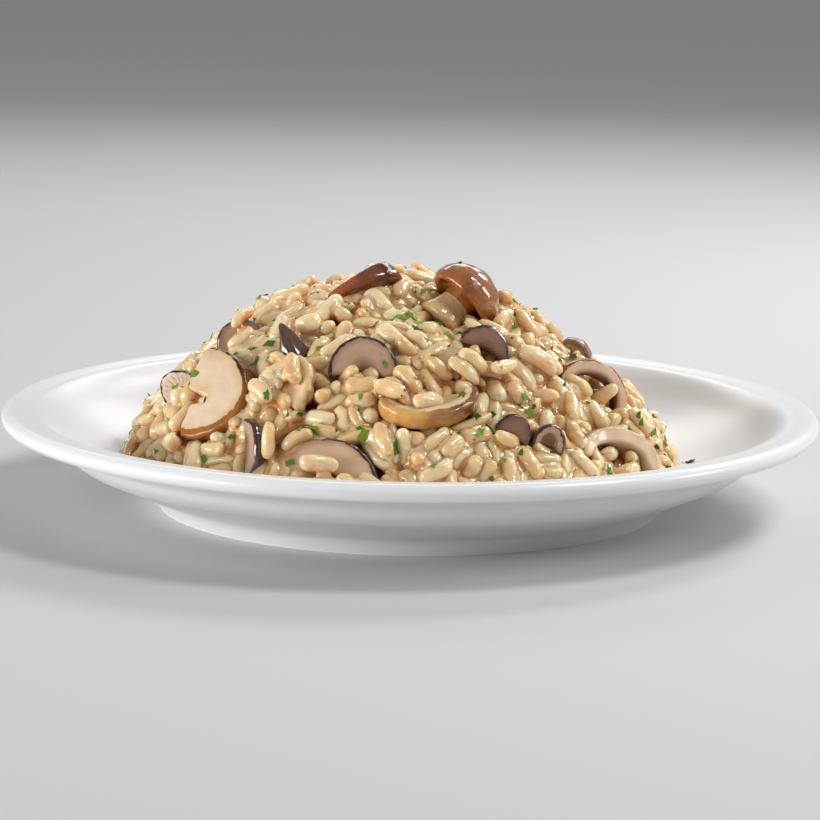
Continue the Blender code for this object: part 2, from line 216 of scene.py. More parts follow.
# %% [markdown]
# A spline that passes through every corner keeps the section's size and softens its facets.
# Catmull-Rom does that with four points at a time.

# %% Spin the plate
SPIN_STEPS = 160
POINTS_PER_SPAN = 5


def drawn_through(corners, points_per_span):
    """A smooth curve through a list of 2-D corners (Catmull-Rom)."""
    known = [Vector(corner) for corner in corners]
    known = [known[0] * 2 - known[1]] + known + [known[-1] * 2 - known[-2]]
    curve = []
    for before, start, end, after in zip(known, known[1:], known[2:], known[3:]):
        for step in range(points_per_span):
            t = step / points_per_span
            curve.append(0.5 * (2 * start + (end - before) * t
                                + (2 * before - 5 * start + 4 * end - after) * t ** 2
                                + (3 * start - before - 3 * end + after) * t ** 3))
    return curve + [known[-2]]


def closed_mesh(name, shape):
    """A mesh from a bmesh, with its faces turned outwards."""
    bmesh.ops.recalc_face_normals(shape, faces=shape.faces)
    mesh = bpy.data.meshes.new(name)
    shape.to_mesh(mesh)
    shape.free()
    return mesh


def spun_mesh(name, corners, steps):
    """A closed turned solid from (radius, height) points in mm, top middle to bottom middle."""
    shape = bmesh.new()
    angles = [2 * math.pi * i / steps for i in range(steps)]
    rings = [[shape.verts.new((r * math.cos(a) * MM, r * math.sin(a) * MM, z * MM))
              for a in angles] for r, z in corners]
    for inner, outer in zip(rings, rings[1:]):
        for i in range(steps):
            k = (i + 1) % steps
            shape.faces.new((inner[i], outer[i], outer[k], inner[k]))
    for ring, height in ((rings[0], corners[0][1]), (rings[-1], corners[-1][1])):
        middle = shape.verts.new((0, 0, height * MM))
        for i in range(steps):
            shape.faces.new((middle, ring[i], ring[(i + 1) % steps]))
    mesh = closed_mesh(name, shape)
    mesh.shade_smooth()
    return mesh


plate_curve = [tuple(point) for point in drawn_through(section, POINTS_PER_SPAN)]
plate = add_object("glazed_plate", spun_mesh("glazed_plate", plate_curve, SPIN_STEPS))
print("plate faces:", len(plate.data.polygons))

# %% [markdown]
# White glaze is bright, hard and very smooth, with a faint waviness from the glaze having
# flowed.  Where the plate stood in the kiln, the rim of its foot is bare and rough: the
# roughness follows the height above the table, so only that ring is dull.

# %% Join shader nodes
def add_node(material, kind, **settings):
    """A shader node with some of its properties and inputs set by name."""
    item = material.node_tree.nodes.new("ShaderNode" + kind)
    for key, value in settings.items():
        if hasattr(item, key):
            setattr(item, key, value)
        else:
            item.inputs[key.replace("_", " ")].default_value = value
    return item


def join(material, *links):
    for source, target in links:
        material.node_tree.links.new(source, target)


def bump_from(material, height, strength, distance):
    """Sends a height through a Bump node to the material's surface."""
    bump = add_node(material, "Bump", Strength=strength, Distance=distance)
    join(material, (height, bump.inputs["Height"]),
         (bump.outputs["Normal"], surface_of(material)["Normal"]))


def noise_on(material, scale, detail=2.0):
    """Noise that stays with the piece as it moves."""
    place = add_node(material, "TexCoord")
    pattern = add_node(material, "TexNoise", Scale=scale, Detail=detail)
    join(material, (place.outputs["Object"], pattern.inputs["Vector"]))
    return pattern.outputs["Fac"]


def stepped(material, value, low, high, at_low=0.0, at_high=1.0):
    """A value that goes from at_low to at_high while the input goes from low to high."""
    item = add_node(material, "MapRange", From_Min=low, From_Max=high, To_Min=at_low,
                    To_Max=at_high)
    join(material, (value, item.inputs["Value"]))
    return item.outputs["Result"]


# %% Glaze the plate
GLOSSY, BARE = 0.28, 0.75
GLAZE_STARTS, GLAZE_WHOLE = 0.4 * MM, 1.0 * MM


def glaze_material():
    glaze = principled("white_glaze", (0.825, 0.83, 0.84), GLOSSY)
    bump_from(glaze, noise_on(glaze, 38.0), 0.12, 0.001)
    place = add_node(glaze, "TexCoord")
    apart = add_node(glaze, "SeparateXYZ")
    join(glaze, (place.outputs["Object"], apart.inputs["Vector"]))
    dull_foot = stepped(glaze, apart.outputs["Z"], GLAZE_STARTS, GLAZE_WHOLE, BARE, GLOSSY)
    join(glaze, (dull_foot, surface_of(glaze)["Roughness"]))
    return glaze


plate.data.materials.append(glaze_material())
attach(plate, "root")
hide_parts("plate")

# %% [markdown]
# ## Reading the heap
# The rice has to lie exactly where the frame's heap is.  Rays shot straight down on a grid give
# the heap's height everywhere.  The frame has a pocket under each slice, so those cells are
# filled in from their neighbours, the way a tablecloth spans a gap.

# %% Measure the heap's height
GRID_STEP = 1.5
GRID_REACH = 94.5
RAY_START = 0.2       # m
PLATE_TOP = 29.0
FILL_ROUNDS = 400
MUSHROOMS = sorted(set(frame["nodes"]) - {"plate", "risotto"})
grid_axis = np.arange(-GRID_REACH, GRID_REACH + GRID_STEP / 2, GRID_STEP)


def heights_over(tree):
    """Height in mm where a ray from above meets the tree, or nan, on the grid (x, y)."""
    found = np.full((len(grid_axis), len(grid_axis)), np.nan)
    for i, x in enumerate(grid_axis):
        for k, y in enumerate(grid_axis):
            hit = tree.ray_cast(Vector((x * MM, y * MM, RAY_START)), Vector((0, 0, -1)))[0]
            if hit:
                found[i, k] = hit.z / MM
    return found


def shifted(field):
    """The grid moved by one cell in each of the four directions."""
    ringed = np.pad(field, 1, mode="edge")
    return ringed[:-2, 1:-1], ringed[2:, 1:-1], ringed[1:-1, :-2], ringed[1:-1, 2:]


def smoothed(field, rounds):
    for _ in range(rounds):
        field = sum(shifted(field)) / 4
    return field


plate_height = heights_over(node_tree("plate"))
plate_height[np.isnan(plate_height)] = PLATE_TOP
heap_height = heights_over(node_tree("risotto"))
slice_height = heights_over(node_tree(*MUSHROOMS))
under_slice = ~np.isnan(slice_height)
for _ in range(2):
    under_slice = np.any([under_slice, *shifted(under_slice)], axis=0)
on_heap = ~np.isnan(heap_height)
filled = np.where(on_heap, heap_height, plate_height)
filled[under_slice] = np.mean(heap_height[on_heap])
for _ in range(FILL_ROUNDS):
    filled[under_slice] = smoothed(filled, 1)[under_slice]
surface = smoothed(np.maximum(filled, plate_height), 1)
print("heap top in mm:", round(surface.max(), 1), " cells under slices:", int(under_slice.sum()))

# %% [markdown]
# Small readers turn the grid into a smooth surface: one gives the height at any point, one the
# way the surface faces there, and one how far a point stands off it.  They take whole arrays of
# points, which is what makes the packing fast.

# %% Read heights and normals anywhere
slope_x, slope_y = np.gradient(surface, GRID_STEP)


def read_grid(field, x, y):
    """Bilinear reading of a grid at x and y in mm, which may be arrays."""
    last = len(grid_axis) - 1.001
    u = np.clip((x + GRID_REACH) / GRID_STEP, 0, last)
    v = np.clip((y + GRID_REACH) / GRID_STEP, 0, last)
    i, k = u.astype(int), v.astype(int)
    fu, fv = u - i, v - k
    return ((field[i, k] * (1 - fv) + field[i, k + 1] * fv) * (1 - fu)
            + (field[i + 1, k] * (1 - fv) + field[i + 1, k + 1] * fv) * fu)


def surface_normals(x, y):
    facing = np.stack([-read_grid(slope_x, x, y), -read_grid(slope_y, x, y), np.ones_like(x)], -1)
    return facing / np.linalg.norm(facing, axis=-1, keepdims=True)


def rise_above(points, field):
    """How far points stand off a surface, measured along its normal, in mm."""
    x, y = points[..., 0], points[..., 1]
    return (points[..., 2] - read_grid(field, x, y)) * surface_normals(x, y)[..., 2]


# %% [markdown]
# ## Scattering the rice
# Cooked risotto rice is short and plump, about 10 mm by 5 mm.  A physics engine could drop the
# grains one by one, but most of that work would be hidden inside.  Only a skin of grains is
# needed here: each starts somewhere in a layer under the surface, nearly flat on it.

# %% Pick a spot for every grain
GRAIN_COUNT = 1330
LAYER_RISE, LAYER_DEPTH = 1.0, 6.0
HEAP_REACH = 88
THIN_EDGE = 1.0
FLAT_SHARE = 0.55
rice = np.random.default_rng(7)


def wobble(points, size, seed):
    """A smooth random value from -1 to 1 at each point; the pattern repeats about every size mm."""
    off = Vector((seed * 3.7, seed * 1.3, seed * 2.9))
    return np.array([noise.noise(Vector(point) / size + off) for point in points])


def unit_rows(rows):
    return rows / np.linalg.norm(rows, axis=1, keepdims=True)


def outward_part(rows, normals):
    """The part of each row that points out of the surface."""
    return normals * (rows * normals).sum(1, keepdims=True)


spots = []
while len(spots) < GRAIN_COUNT:
    x, y = rice.uniform(-HEAP_REACH, HEAP_REACH, 2)
    upright = surface_normals(x, y)[2]
    rise = read_grid(surface, x, y) - read_grid(plate_height, x, y)
    # A steep place has more surface under each square, so it gets more grains.
    if rise > THIN_EDGE and rice.uniform() < FLAT_SHARE / upright:
        spots.append((x, y, rise))
spots = np.array(spots)
facing = surface_normals(spots[:, 0], spots[:, 1])
centres = np.column_stack([spots[:, :2], read_grid(surface, spots[:, 0], spots[:, 1])])
centres -= facing * rice.uniform(-LAYER_RISE, LAYER_DEPTH, (GRAIN_COUNT, 1))
print("spots for grains:", len(spots))

# %% [markdown]
# Each grain gets its own length, width and direction.  "stands_proud" says how far it may rise
# over the heap's form: a slow wobble makes groups of grains stand out together, and near the
# heap's thin edge they have to stay low.

# %% Give every grain its size
HALF_LENGTHS = (5.1, 0.75, 3.6, 6.4)      # mean, spread, least and most, in mm
HALF_WIDTHS = (2.38, 0.28, 1.8, 2.9)
PROUD = (-1.6, 0.4, 4.4)                  # least, likeliest and most, in mm
GROUP_RISE, GROUP_SIZE = 2.0, 13.0
THICK_HEAP = 14
LIES_FLAT = 0.7


def drawn_sizes(mean, spread, least, most):
    return np.clip(rice.normal(mean, spread, GRAIN_COUNT), least, most)


half_length = drawn_sizes(*HALF_LENGTHS)
half_width = drawn_sizes(*HALF_WIDTHS)
stands_proud = rice.triangular(*PROUD, GRAIN_COUNT)
stands_proud = stands_proud + GROUP_RISE * wobble(centres, GROUP_SIZE, 31)
stands_proud *= np.where(stands_proud > 0, np.clip(spots[:, 2] / THICK_HEAP, 0, 1), 1)
axes = rice.normal(size=(GRAIN_COUNT, 3))
axes = unit_rows(axes - outward_part(axes, facing) * LIES_FLAT)
print("grains:", GRAIN_COUNT, " mean length:", round(2 * half_length.mean(), 1), "mm")

# %% [markdown]
# Rice also lies on the mushrooms and leans against them.  A few grains are laid on the slices
# on purpose: the table gives each a place in the slice's own box, across and up.  They start
# above it and are lowered while the rest settles.  After that, the grains close to a slice are
# allowed to stand nearly as high as the slice does.

# %% Lay some grains on the slices
LAID = {
    "center_arch": ((0.33, -0.20), (0.80, -0.35)), "plum_slice": ((0.30, -0.15),),
    "smile_arch": ((0.50, 0.45), (0.12, 0.80)),
    "right_arch": ((0.30, 0.15), (0.60, -0.05), (0.58, 0.28)),
    "low_arch": ((0.40, -0.15), (1.00, -0.05)), "front_slice": ((0.40, 0.35), (0.75, -0.15)),
    "big_slice": ((-0.05, 0.35), (0.05, 0.0)), "shoulder_slice": ((0.85, 0.45), (0.70, 0.0)),
    "grey_flat": ((0.10, 0.1), (0.75, -0.1)), "grey_chip": ((0.0, 0.1), (0.9, 0.2)),
    "sauced_slice": ((0.15, 0.1), (0.5, 0.0), (0.85, -0.1), (0.25, 0.55), (0.7, 0.7)),
    "grey_slice": ((0.2, -0.2),), "skyline_slice": ((0.1, -0.1),),
    "amber_sliver": ((0.2, 0.0), (0.8, 0.0)), "back_arch": ((0.4, 0.0), (0.7, -0.2)),
    "back_half": ((0.3, -0.1), (0.9, 0.0)), "back_slice": ((0.5, -0.1),),
    "left_arch": ((0.5, 0.0), (0.3, -0.2)), "right_half": ((0.4, -0.1),),
    "left_slice": ((0.5, -0.1),), "back_low": ((0.5, -0.1),),
}
DROP_HEIGHT = 7.0
LAID_FLAT = 0.9
LAID_HALF_LENGTHS, LAID_HALF_WIDTHS = (4.4, 5.6), (2.1, 2.6)     # from and to, in mm


def node_box(node_name):
    """The lowest and the highest corner of a frame node, in mm."""
    places = node_points(node_name)
    return places.min(0), places.max(0)


laid_spots = []
for node_name, places in LAID.items():
    low, high = node_box(node_name)
    laid_spots += [low + (high - low) * (across, 0.5, up) for across, up in places]
laid_spots = np.array(laid_spots)
laid = len(laid_spots)
laid_out = surface_normals(laid_spots[:, 0], laid_spots[:, 1])
laid_axes = rice.normal(size=(laid, 3)) * (1.0, 1.0, 0.6)
laid_axes = unit_rows(laid_axes - outward_part(laid_axes, laid_out) * LAID_FLAT)
centres = np.concatenate([centres, laid_spots + laid_out * DROP_HEIGHT])
axes = np.concatenate([axes, laid_axes])
half_length = np.concatenate([half_length, rice.uniform(*LAID_HALF_LENGTHS, laid)])
half_width = np.concatenate([half_width, rice.uniform(*LAID_HALF_WIDTHS, laid)])
GRAINS = GRAIN_COUNT + laid
print("grains laid on slices:", laid)

# %% Let the rice climb the slices
CLIMB_LIMIT = 7
CLIMBS = (-0.1, 0.55)  # least and most share of a slice's rise that a grain takes up
EASES_OFF = 0.85       # what is left of the climb one grid cell further away
NO_LIMIT = 14.0
AROUND = 0.62          # how far "round a slice" reaches, as a share of the slice's box
# Slices that stay in full view: the rice round them may stand this much proud, in mm.
CLEAR = {"whole_cap": -0.6, "crown_strip": 0.0, "pointed_cap": -0.3, "gill_slice": 0.0,
         "edge_strip": 0.0, "skyline_slice": -0.8, "small_curl": 0.6, "center_arch": 1.2}
slice_rise = np.clip(np.nan_to_num(slice_height - surface), 0, CLIMB_LIMIT)
for _ in range(3):
    slice_rise = np.maximum(slice_rise, np.max(shifted(slice_rise), axis=0) * EASES_OFF)
slice_rise = smoothed(slice_rise, 2)
loose_centres = centres[:GRAIN_COUNT]
climbs = rice.uniform(*CLIMBS, GRAIN_COUNT)
stands_proud += climbs * read_grid(slice_rise, loose_centres[:, 0], loose_centres[:, 1])
for node_name, allowed in CLEAR.items():
    low, high = node_box(node_name)
    away = np.linalg.norm(loose_centres - (low + high) / 2, axis=1)
    near = away < (high - low).max() * AROUND
    stands_proud = np.where(near, np.minimum(stands_proud, allowed), stands_proud)
stands_proud = np.concatenate([stands_proud, np.full(laid, NO_LIMIT)])
print("slices kept clear:", list(CLEAR))

# %% [markdown]
# ## Packing the rice
# Grains can't share a place.  Each one is stood in for by four balls in a row.  Over and over,
# balls that overlap push each other apart, balls that left the layer are pushed back, and each
# grain follows its balls as one stiff body.  Slices of mushroom are filled with balls too, and
# those never move, so the rice settles round them.

# %% Fill the slices with fixed balls
SLICE_BALL = 0.9
AREA_PER_BALL = 1.2


def balls_in(node_name):
    """Centres of balls just under a node's skin, in mm."""
    mesh = frame["nodes"][node_name].data
    mesh.calc_loop_triangles()
    places = node_points(node_name)
    corners = np.array([triangle.vertices[:] for triangle in mesh.loop_triangles])
    a, b, c = (places[corners[:, i]] for i in range(3))
    normal = np.cross(b - a, c - a)
    area = np.linalg.norm(normal, axis=1) / 2
    normal /= np.maximum(2 * area[:, None], 1e-9)
    picks = rice.choice(len(area), int(area.sum() / AREA_PER_BALL), p=area / area.sum())
    u, v = rice.uniform(size=(2, len(picks), 1))
    over = (u + v) > 1
    u, v = np.where(over, 1 - u, u), np.where(over, 1 - v, v)
    return a[picks] + (b - a)[picks] * u + (c - a)[picks] * v - normal[picks] * SLICE_BALL


fixed_balls = np.concatenate([balls_in(node_name) for node_name in MUSHROOMS])
print("balls in the slices:", len(fixed_balls))

# %% Find balls that are close
def close_pairs(points, reach):
    """Index pairs of points closer than about the reach, by sorting them into cells."""
    cell = np.floor(points / reach).astype(np.int64)
    cell -= cell.min(0) - 1
    size = cell.max(0) + 2
    key = (cell[:, 0] * size[1] + cell[:, 1]) * size[2] + cell[:, 2]
    order = np.argsort(key, kind="stable")
    ordered = key[order]
    firsts, seconds = [], []
    steps = [(i, j, k) for i in (-1, 0, 1) for j in (-1, 0, 1) for k in (-1, 0, 1)]
    for shift in {(i * size[1] + j) * size[2] + k for i, j, k in steps}:
        if shift < 0:
            continue
        start = np.searchsorted(ordered, key + shift, "left")
        count = np.searchsorted(ordered, key + shift, "right") - start
        first = np.repeat(np.arange(len(points)), count)
        within = np.arange(len(first)) - np.repeat(np.cumsum(count) - count, count)
        second = order[np.repeat(start, count) + within]
        keep = (first < second) if shift == 0 else np.ones(len(first), bool)
        firsts.append(first[keep])
        seconds.append(second[keep])
    return np.concatenate(firsts), np.concatenate(seconds)


# %% Stand four balls in for every grain
BALLS = 4
PAIR_REACH = 5.8
along_grain = np.linspace(-1, 1, BALLS)
offsets = along_grain[None, :] * (half_length - half_width)[:, None]
loose = GRAINS * BALLS
owner = np.concatenate([np.repeat(np.arange(GRAINS), BALLS), np.full(len(fixed_balls), -1)])
radius = np.concatenate([np.repeat(half_width, BALLS), np.full(len(fixed_balls), SLICE_BALL)])
print("balls that move:", loose)


def ball_centres():
    return (centres[:, None, :] + axes[:, None, :] * offsets[:, :, None]).reshape(-1, 3)


def close_to_touching(everything):
    """Pairs of balls that may soon touch: a loose ball, and any ball of another owner."""
    first, second = close_pairs(everything, PAIR_REACH)
    keep = (first < loose) & (owner[first] != owner[second])
    return first[keep], second[keep]


# %% Push overlapping balls apart
SQUASH = 0.93
BACK_IN, OFF_THE_PLATE = 0.5, 0.6     # shares of the way that one push makes good
LONGEST_STEP = 0.7


def pushes(everything, first, second):
    """How far every loose ball is pushed, and the overlaps; slices don't give way."""
    apart = everything[first] - everything[second]
    distance = np.maximum(np.linalg.norm(apart, axis=1), 1e-6)
    overlap = (radius[first] + radius[second]) * SQUASH - distance
    touching = overlap > 0
    one, other = first[touching], second[touching]
    push = apart[touching] / distance[touching, None] * overlap[touching, None]
    share = np.where(other >= loose, 1.0, 0.5)[:, None]
    pushed = np.zeros((loose, 3))
    for axis_number in range(3):
        pushed[:, axis_number] += np.bincount(one, (push * share)[:, axis_number], loose)[:loose]
        back = (push * 0.5)[:, axis_number] * (other < loose)
        pushed[:, axis_number] -= np.bincount(np.minimum(other, loose - 1), back, loose)[:loose]
    return pushed, overlap[touching]


def kept_in_layer(balls, pushed):
    """Adds the push back into the layer of rice, and up off the plate; limits the step."""
    out = surface_normals(balls[:, 0], balls[:, 1])
    high = rise_above(balls, surface) + radius[:loose] - np.repeat(stands_proud, BALLS)
    pushed -= out * np.maximum(high, 0)[:, None] * BACK_IN
    low = -LAYER_DEPTH - rise_above(balls, surface)
    pushed += out * np.maximum(low, 0)[:, None] * BACK_IN
    sunk = radius[:loose] - rise_above(balls, plate_height)
    pushed[:, 2] += np.maximum(sunk, 0) * OFF_THE_PLATE
    length = np.linalg.norm(pushed, axis=1, keepdims=True)
    return pushed * np.minimum(1, LONGEST_STEP / np.maximum(length, 1e-6))


# %% [markdown]
# In every round the balls' pushes move their grain and turn it.  The grains that are laid on
# slices are also lowered a little each round and held over their spots.

# %% Let the grains settle
SETTLE_ROUNDS = 110
ROUNDS_PER_SEARCH = 4
FOLLOWS, TURNS = 1.1, 0.9             # how readily a grain follows its balls
LAY_DOWN, HOLD_OVER = 0.13, 0.2
ROLLED_OFF = 9
for round_number in range(SETTLE_ROUNDS):
    balls = ball_centres()
    everything = np.concatenate([balls, fixed_balls])
    if round_number % ROUNDS_PER_SEARCH == 0:
        first, second = close_to_touching(everything)
    pushed, overlaps = pushes(everything, first, second)
    pushed = kept_in_layer(balls, pushed).reshape(GRAINS, BALLS, 3)
    centres += pushed.mean(1) * FOLLOWS
    aside = centres[GRAIN_COUNT:] - laid_spots
    aside -= outward_part(aside, laid_out)
    centres[GRAIN_COUNT:] -= laid_out * LAY_DOWN + aside * HOLD_OVER
    turn = (pushed * offsets[:, :, None]).sum(1) / (offsets ** 2).sum(1)[:, None]
    axes = unit_rows(axes + turn * TURNS)
in_heap = ((rise_above(centres, plate_height) > 0.5 * half_width)
           & (rise_above(centres, surface) < ROLLED_OFF))
print("grains that rolled off the heap:", int((~in_heap).sum()))
print("overlap left, mm: mean", round(float(overlaps.mean()), 2), " pairs:", len(overlaps))

# %% [markdown]
# ## The shape of a cooked grain
# A cooked grain is a plump rod with blunt round ends.  One end keeps a small dent where the
# germ sat, most grains bend a little, some curl, and no two are equally round.  All grains of
# one kind are made at once: a net of rings is bent, dented and turned into place with arrays.

# %% Model unit grains
RINGS = 10
SEGMENTS = 14
GERM_AT, GERM_LONG, GERM_WIDE = -0.78, 0.22, 0.7


def unit_grains(count, bend, s_bend, dice):
    """Nets of rings: along the grain, to two sides of it, and how far it bows out."""
    t = -np.cos(np.pi * np.arange(RINGS + 1) / RINGS)[None, 1:-1, None]
    turn = (2 * np.pi * np.arange(SEGMENTS) / SEGMENTS)[None, None, :]
    many = (count, 1, 1)
    girth = (1 - abs(t) ** dice.uniform(3.0, 5.4, many)) ** 0.5
    girth = girth * (1 + dice.normal(0, 0.07, many) * t)
    germ = np.exp(-((t - GERM_AT) / GERM_LONG) ** 2)
    germ = germ * np.exp(-((turn - np.pi / 2) / GERM_WIDE) ** 2)
    girth = girth * (1 - dice.uniform(0.0, 0.35, many) * germ)
    # Low waves along and round the grain, as shares of its width.
    girth = girth * (1 + 0.05 * np.sin(3 * turn + dice.uniform(0, 6.3, many) + 2.2 * t)
                     + 0.07 * np.sin(4.3 * t + dice.uniform(0, 6.3, many) + turn)
                     + 0.03 * np.sin(9 * t + dice.uniform(0, 6.3, many)) * np.cos(2 * turn + 9 * t))
    flat = dice.uniform(0.80, 0.95, many)
    bow = (dice.normal(bend, 0.5, many) * (1 - t ** 2)
           + s_bend * dice.normal(0, 1, many) * np.sin(np.pi * t))
    return t + 0 * girth, girth * np.cos(turn), girth * flat * np.sin(turn), bow


# %% Put grains in their places
DENT_SIZE = 3.2
DENT_DEPTH = 0.22


def placed_points(chosen, bend, s_bend, dice):
    """The rings and the two tips of all chosen grains, turned into place and dented, in mm."""
    count = len(chosen)
    along, side, up, bow = unit_grains(count, bend, s_bend, dice)
    axis = axes[chosen]
    across = unit_rows(np.cross(axis, dice.normal(size=(count, 3))))
    third = np.cross(axis, across)
    length = half_length[chosen][:, None, None, None]
    width = half_width[chosen][:, None, None, None]
    own = [way[:, None, None, :] for way in (axis, across, third)]
    rings = (centres[chosen][:, None, None, :] + own[0] * along[..., None] * length
             + own[1] * side[..., None] * width
             + own[2] * (up[..., None] * width + bow[..., None] - bend * 0.5))
    tips = [centres[chosen] + axis * half_length[chosen][:, None] * end - third * bend * 0.5
            for end in (-1, 1)]
    points = np.concatenate([rings.reshape(count, -1, 3), tips[0][:, None], tips[1][:, None]], 1)
    rows = points.reshape(-1, 3)
    dents = np.stack([wobble(rows, DENT_SIZE, 50 + axis_number) for axis_number in range(3)], 1)
    return points + DENT_DEPTH * dents.reshape(points.shape)


def grain_faces(count, per_grain):
    """Quads between the rings and triangles round the tips, for all grains."""
    ring = np.arange(SEGMENTS)
    after = (ring + 1) % SEGMENTS
    quads = np.concatenate([
        np.stack([row + ring, row + after, row + SEGMENTS + after, row + SEGMENTS + ring], 1)
        for row in range(0, (RINGS - 2) * SEGMENTS, SEGMENTS)])
    last = (RINGS - 2) * SEGMENTS
    caps = np.concatenate([
        np.stack([after, ring, np.full(SEGMENTS, per_grain - 2)], 1),
        np.stack([last + ring, last + after, np.full(SEGMENTS, per_grain - 1)], 1)])
    first = (np.arange(count) * per_grain)[:, None, None]
    return (first + quads).reshape(-1, 4).tolist() + (first + caps).reshape(-1, 3).tolist()


# %% Make the three kinds of grain
def store(mesh, name, values):
    """Keeps one number for each point on the mesh, where a material can read it."""
    mesh.attributes.new(name, "FLOAT", "POINT").data.foreach_set("value", values)


def grains_mesh(name, chosen, bend, s_bend, seed):
    """One mesh with all the chosen grains, and each grain's tone as an attribute."""
    dice = np.random.default_rng(seed)
    points = placed_points(chosen, bend, s_bend, dice)
    count, per_grain = points.shape[:2]
    mesh = bpy.data.meshes.new(name)
    mesh.from_pydata((points.reshape(-1, 3) * MM).tolist(), [], grain_faces(count, per_grain))
    mesh.shade_smooth()
    store(mesh, "tone", np.repeat(dice.uniform(0, 1, count), per_grain))
    return mesh


SHORT_SHARE = 0.24
shuffled = rice.permutation(GRAINS)
shuffled = shuffled[in_heap[shuffled]]
is_short = half_length[shuffled] < np.quantile(half_length, SHORT_SHARE)
long_ones, short_ones = shuffled[~is_short], shuffled[is_short]
KINDS = {   # which grains, how far they bow, how far they curl
    "rice_straight": (long_ones[::2], 0.35, 0.12),
    "rice_curved": (long_ones[1::2], 0.7, 0.35),
    "rice_short": (short_ones, 0.1, 0.05),
}
rice_pieces = []
for seed, (name, (chosen, bend, s_bend)) in enumerate(KINDS.items()):
    piece = add_object(name, grains_mesh(name, chosen, bend, s_bend, seed))
    rice_pieces.append(piece)
    triangles = sum(len(polygon.vertices) - 2 for polygon in piece.data.polygons)
    print(name, len(chosen), "grains,", triangles, "triangles")

# %% [markdown]
# ## The look of wet rice
# Rice is translucent: light enters the grain, turns warm and comes out again nearby.
# Subsurface scattering does that.  A thin coat gives the wet gloss, a fine bump breaks it into
# small sparkles, and every grain takes its own tone of cream from the attribute.

# %% Mix colours in a material
RIPPLES = 950.0            # noise scale of the fine bump on wet rice and sauce
RIPPLE_HEIGHT = 0.0004
# The gap colour is painted shade, laid on shut-in places between grains.
OPEN, SHUT = 0.25, 0.95    # how shut in a point is where the gap colour starts and is full


def ramp_from(material, source, stops):
    """A colour ramp from a value; stops are (position, colour)."""
    ramp = add_node(material, "ValToRGB")
    while len(ramp.color_ramp.elements) < len(stops):
        ramp.color_ramp.elements.new(0.5)
    for element, (position, colour) in zip(ramp.color_ramp.elements, stops):
        element.position = position
        element.color = (*colour, 1.0)
    join(material, (source, ramp.inputs["Fac"]))
    return ramp.outputs["Color"]


def mixed(material, first, second, share, blend="MIX"):
    """Mixes two colours; each may be an output or a plain colour, and so may the share."""
    mix = add_node(material, "Mix", data_type="RGBA", blend_type=blend)
    for socket, value in ((mix.inputs[6], first), (mix.inputs[7], second), (mix.inputs[0], share)):
        if isinstance(value, bpy.types.NodeSocket):
            join(material, (value, socket))
        elif isinstance(value, (int, float)):
            socket.default_value = value
        else:
            socket.default_value = (*value, 1.0)
    return mix.outputs[2]


def attribute(material, name):
    return add_node(material, "Attribute", attribute_name=name).outputs["Fac"]


def shade_in_gaps(material, colour, shade_colour):
    """The colour, turned towards a painted shade colour where the surface is shut in between
    grains.
    """
    amount = stepped(material, attribute(material, "shut_in"), OPEN, SHUT)
    return mixed(material, colour, mixed(material, colour, shade_colour, 1.0, "MULTIPLY"), amount)


# %% Colour the rice
def rice_material():
    wet = principled("wet_rice", (0.7, 0.5, 0.3), 0.42, Coat_Weight=1.0, Coat_Roughness=0.09,
                     Coat_IOR=1.55, Specular_IOR_Level=0.2, Subsurface_Weight=0.85,
                     Subsurface_Scale=0.0034, Subsurface_Radius=(1.0, 0.78, 0.55))
    by_grain = ramp_from(wet, attribute(wet, "tone"),
                         [(0.0, (0.79, 0.525, 0.255)), (0.5, (0.88, 0.64, 0.345)),
                          (1.0, (0.95, 0.75, 0.47))])
    patches = ramp_from(wet, noise_on(wet, 240.0, 4.0),
                        [(0.38, (0.80, 0.73, 0.64)), (0.60, WHITE)])
    toned = mixed(wet, by_grain, patches, 0.65, "MULTIPLY")
    # Shut-in places between grains get a painted shade colour.
    join(wet, (shade_in_gaps(wet, toned, (0.94, 0.56, 0.24)), surface_of(wet)["Base Color"]))
    bump_from(wet, noise_on(wet, RIPPLES, 4.0), 0.7, RIPPLE_HEIGHT)
    return wet


wet_rice = rice_material()
for piece in rice_pieces:
    piece.data.materials.append(wet_rice)
    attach(piece, "root")
print("grains shown:", len(shuffled))

# %% [markdown]
# ## The core and the sauce
# Under the loose grains the heap is one creamy mass.  The core is the heap's own form, a few
# millimetres smaller.  Core and grains are then melted together with a voxel remesh and
# smoothed: smoothing cuts the tops off the grains and fills the gaps between them, and that is
# just how sauce lies.

# %% Build the core
CORE_DEPTH = 4.8
THINNEST = 0.6


def field_solid(name, top, bottom):
    """A closed solid between two height grids, where the top is clearly above the bottom."""
    thick = (top - bottom) > THINNEST
    shape = bmesh.new()
    upper, lower = {}, {}
    for i, k in zip(*np.nonzero(thick)):
        x, y = grid_axis[i] * MM, grid_axis[k] * MM
        upper[i, k] = shape.verts.new((x, y, top[i, k] * MM))
        lower[i, k] = shape.verts.new((x, y, bottom[i, k] * MM))
    for i, k in list(upper):
        cell = [(i, k), (i + 1, k), (i + 1, k + 1), (i, k + 1)]
        if all(corner in upper for corner in cell):
            shape.faces.new([upper[corner] for corner in cell])
            shape.faces.new([lower[corner] for corner in reversed(cell)])
    below = {upper[key]: lower[key] for key in upper}
    for edge in [edge for edge in shape.edges if edge.is_boundary]:
        a, b = edge.verts
        if a in below and b in below:
            shape.faces.new((a, b, below[b], below[a]))
    bmesh.ops.delete(shape, geom=[v for v in shape.verts if not v.link_faces], context="VERTS")
    return closed_mesh(name, shape)


steepness = 1 / np.sqrt(1 + slope_x ** 2 + slope_y ** 2)
core_top = smoothed(surface, 3) - CORE_DEPTH / steepness
core = field_solid("core", core_top, plate_height + 0.1)
print("core faces:", len(core.polygons))

# %% Melt the core and the grains into a sauce
SAUCE_VOXEL = 1.0


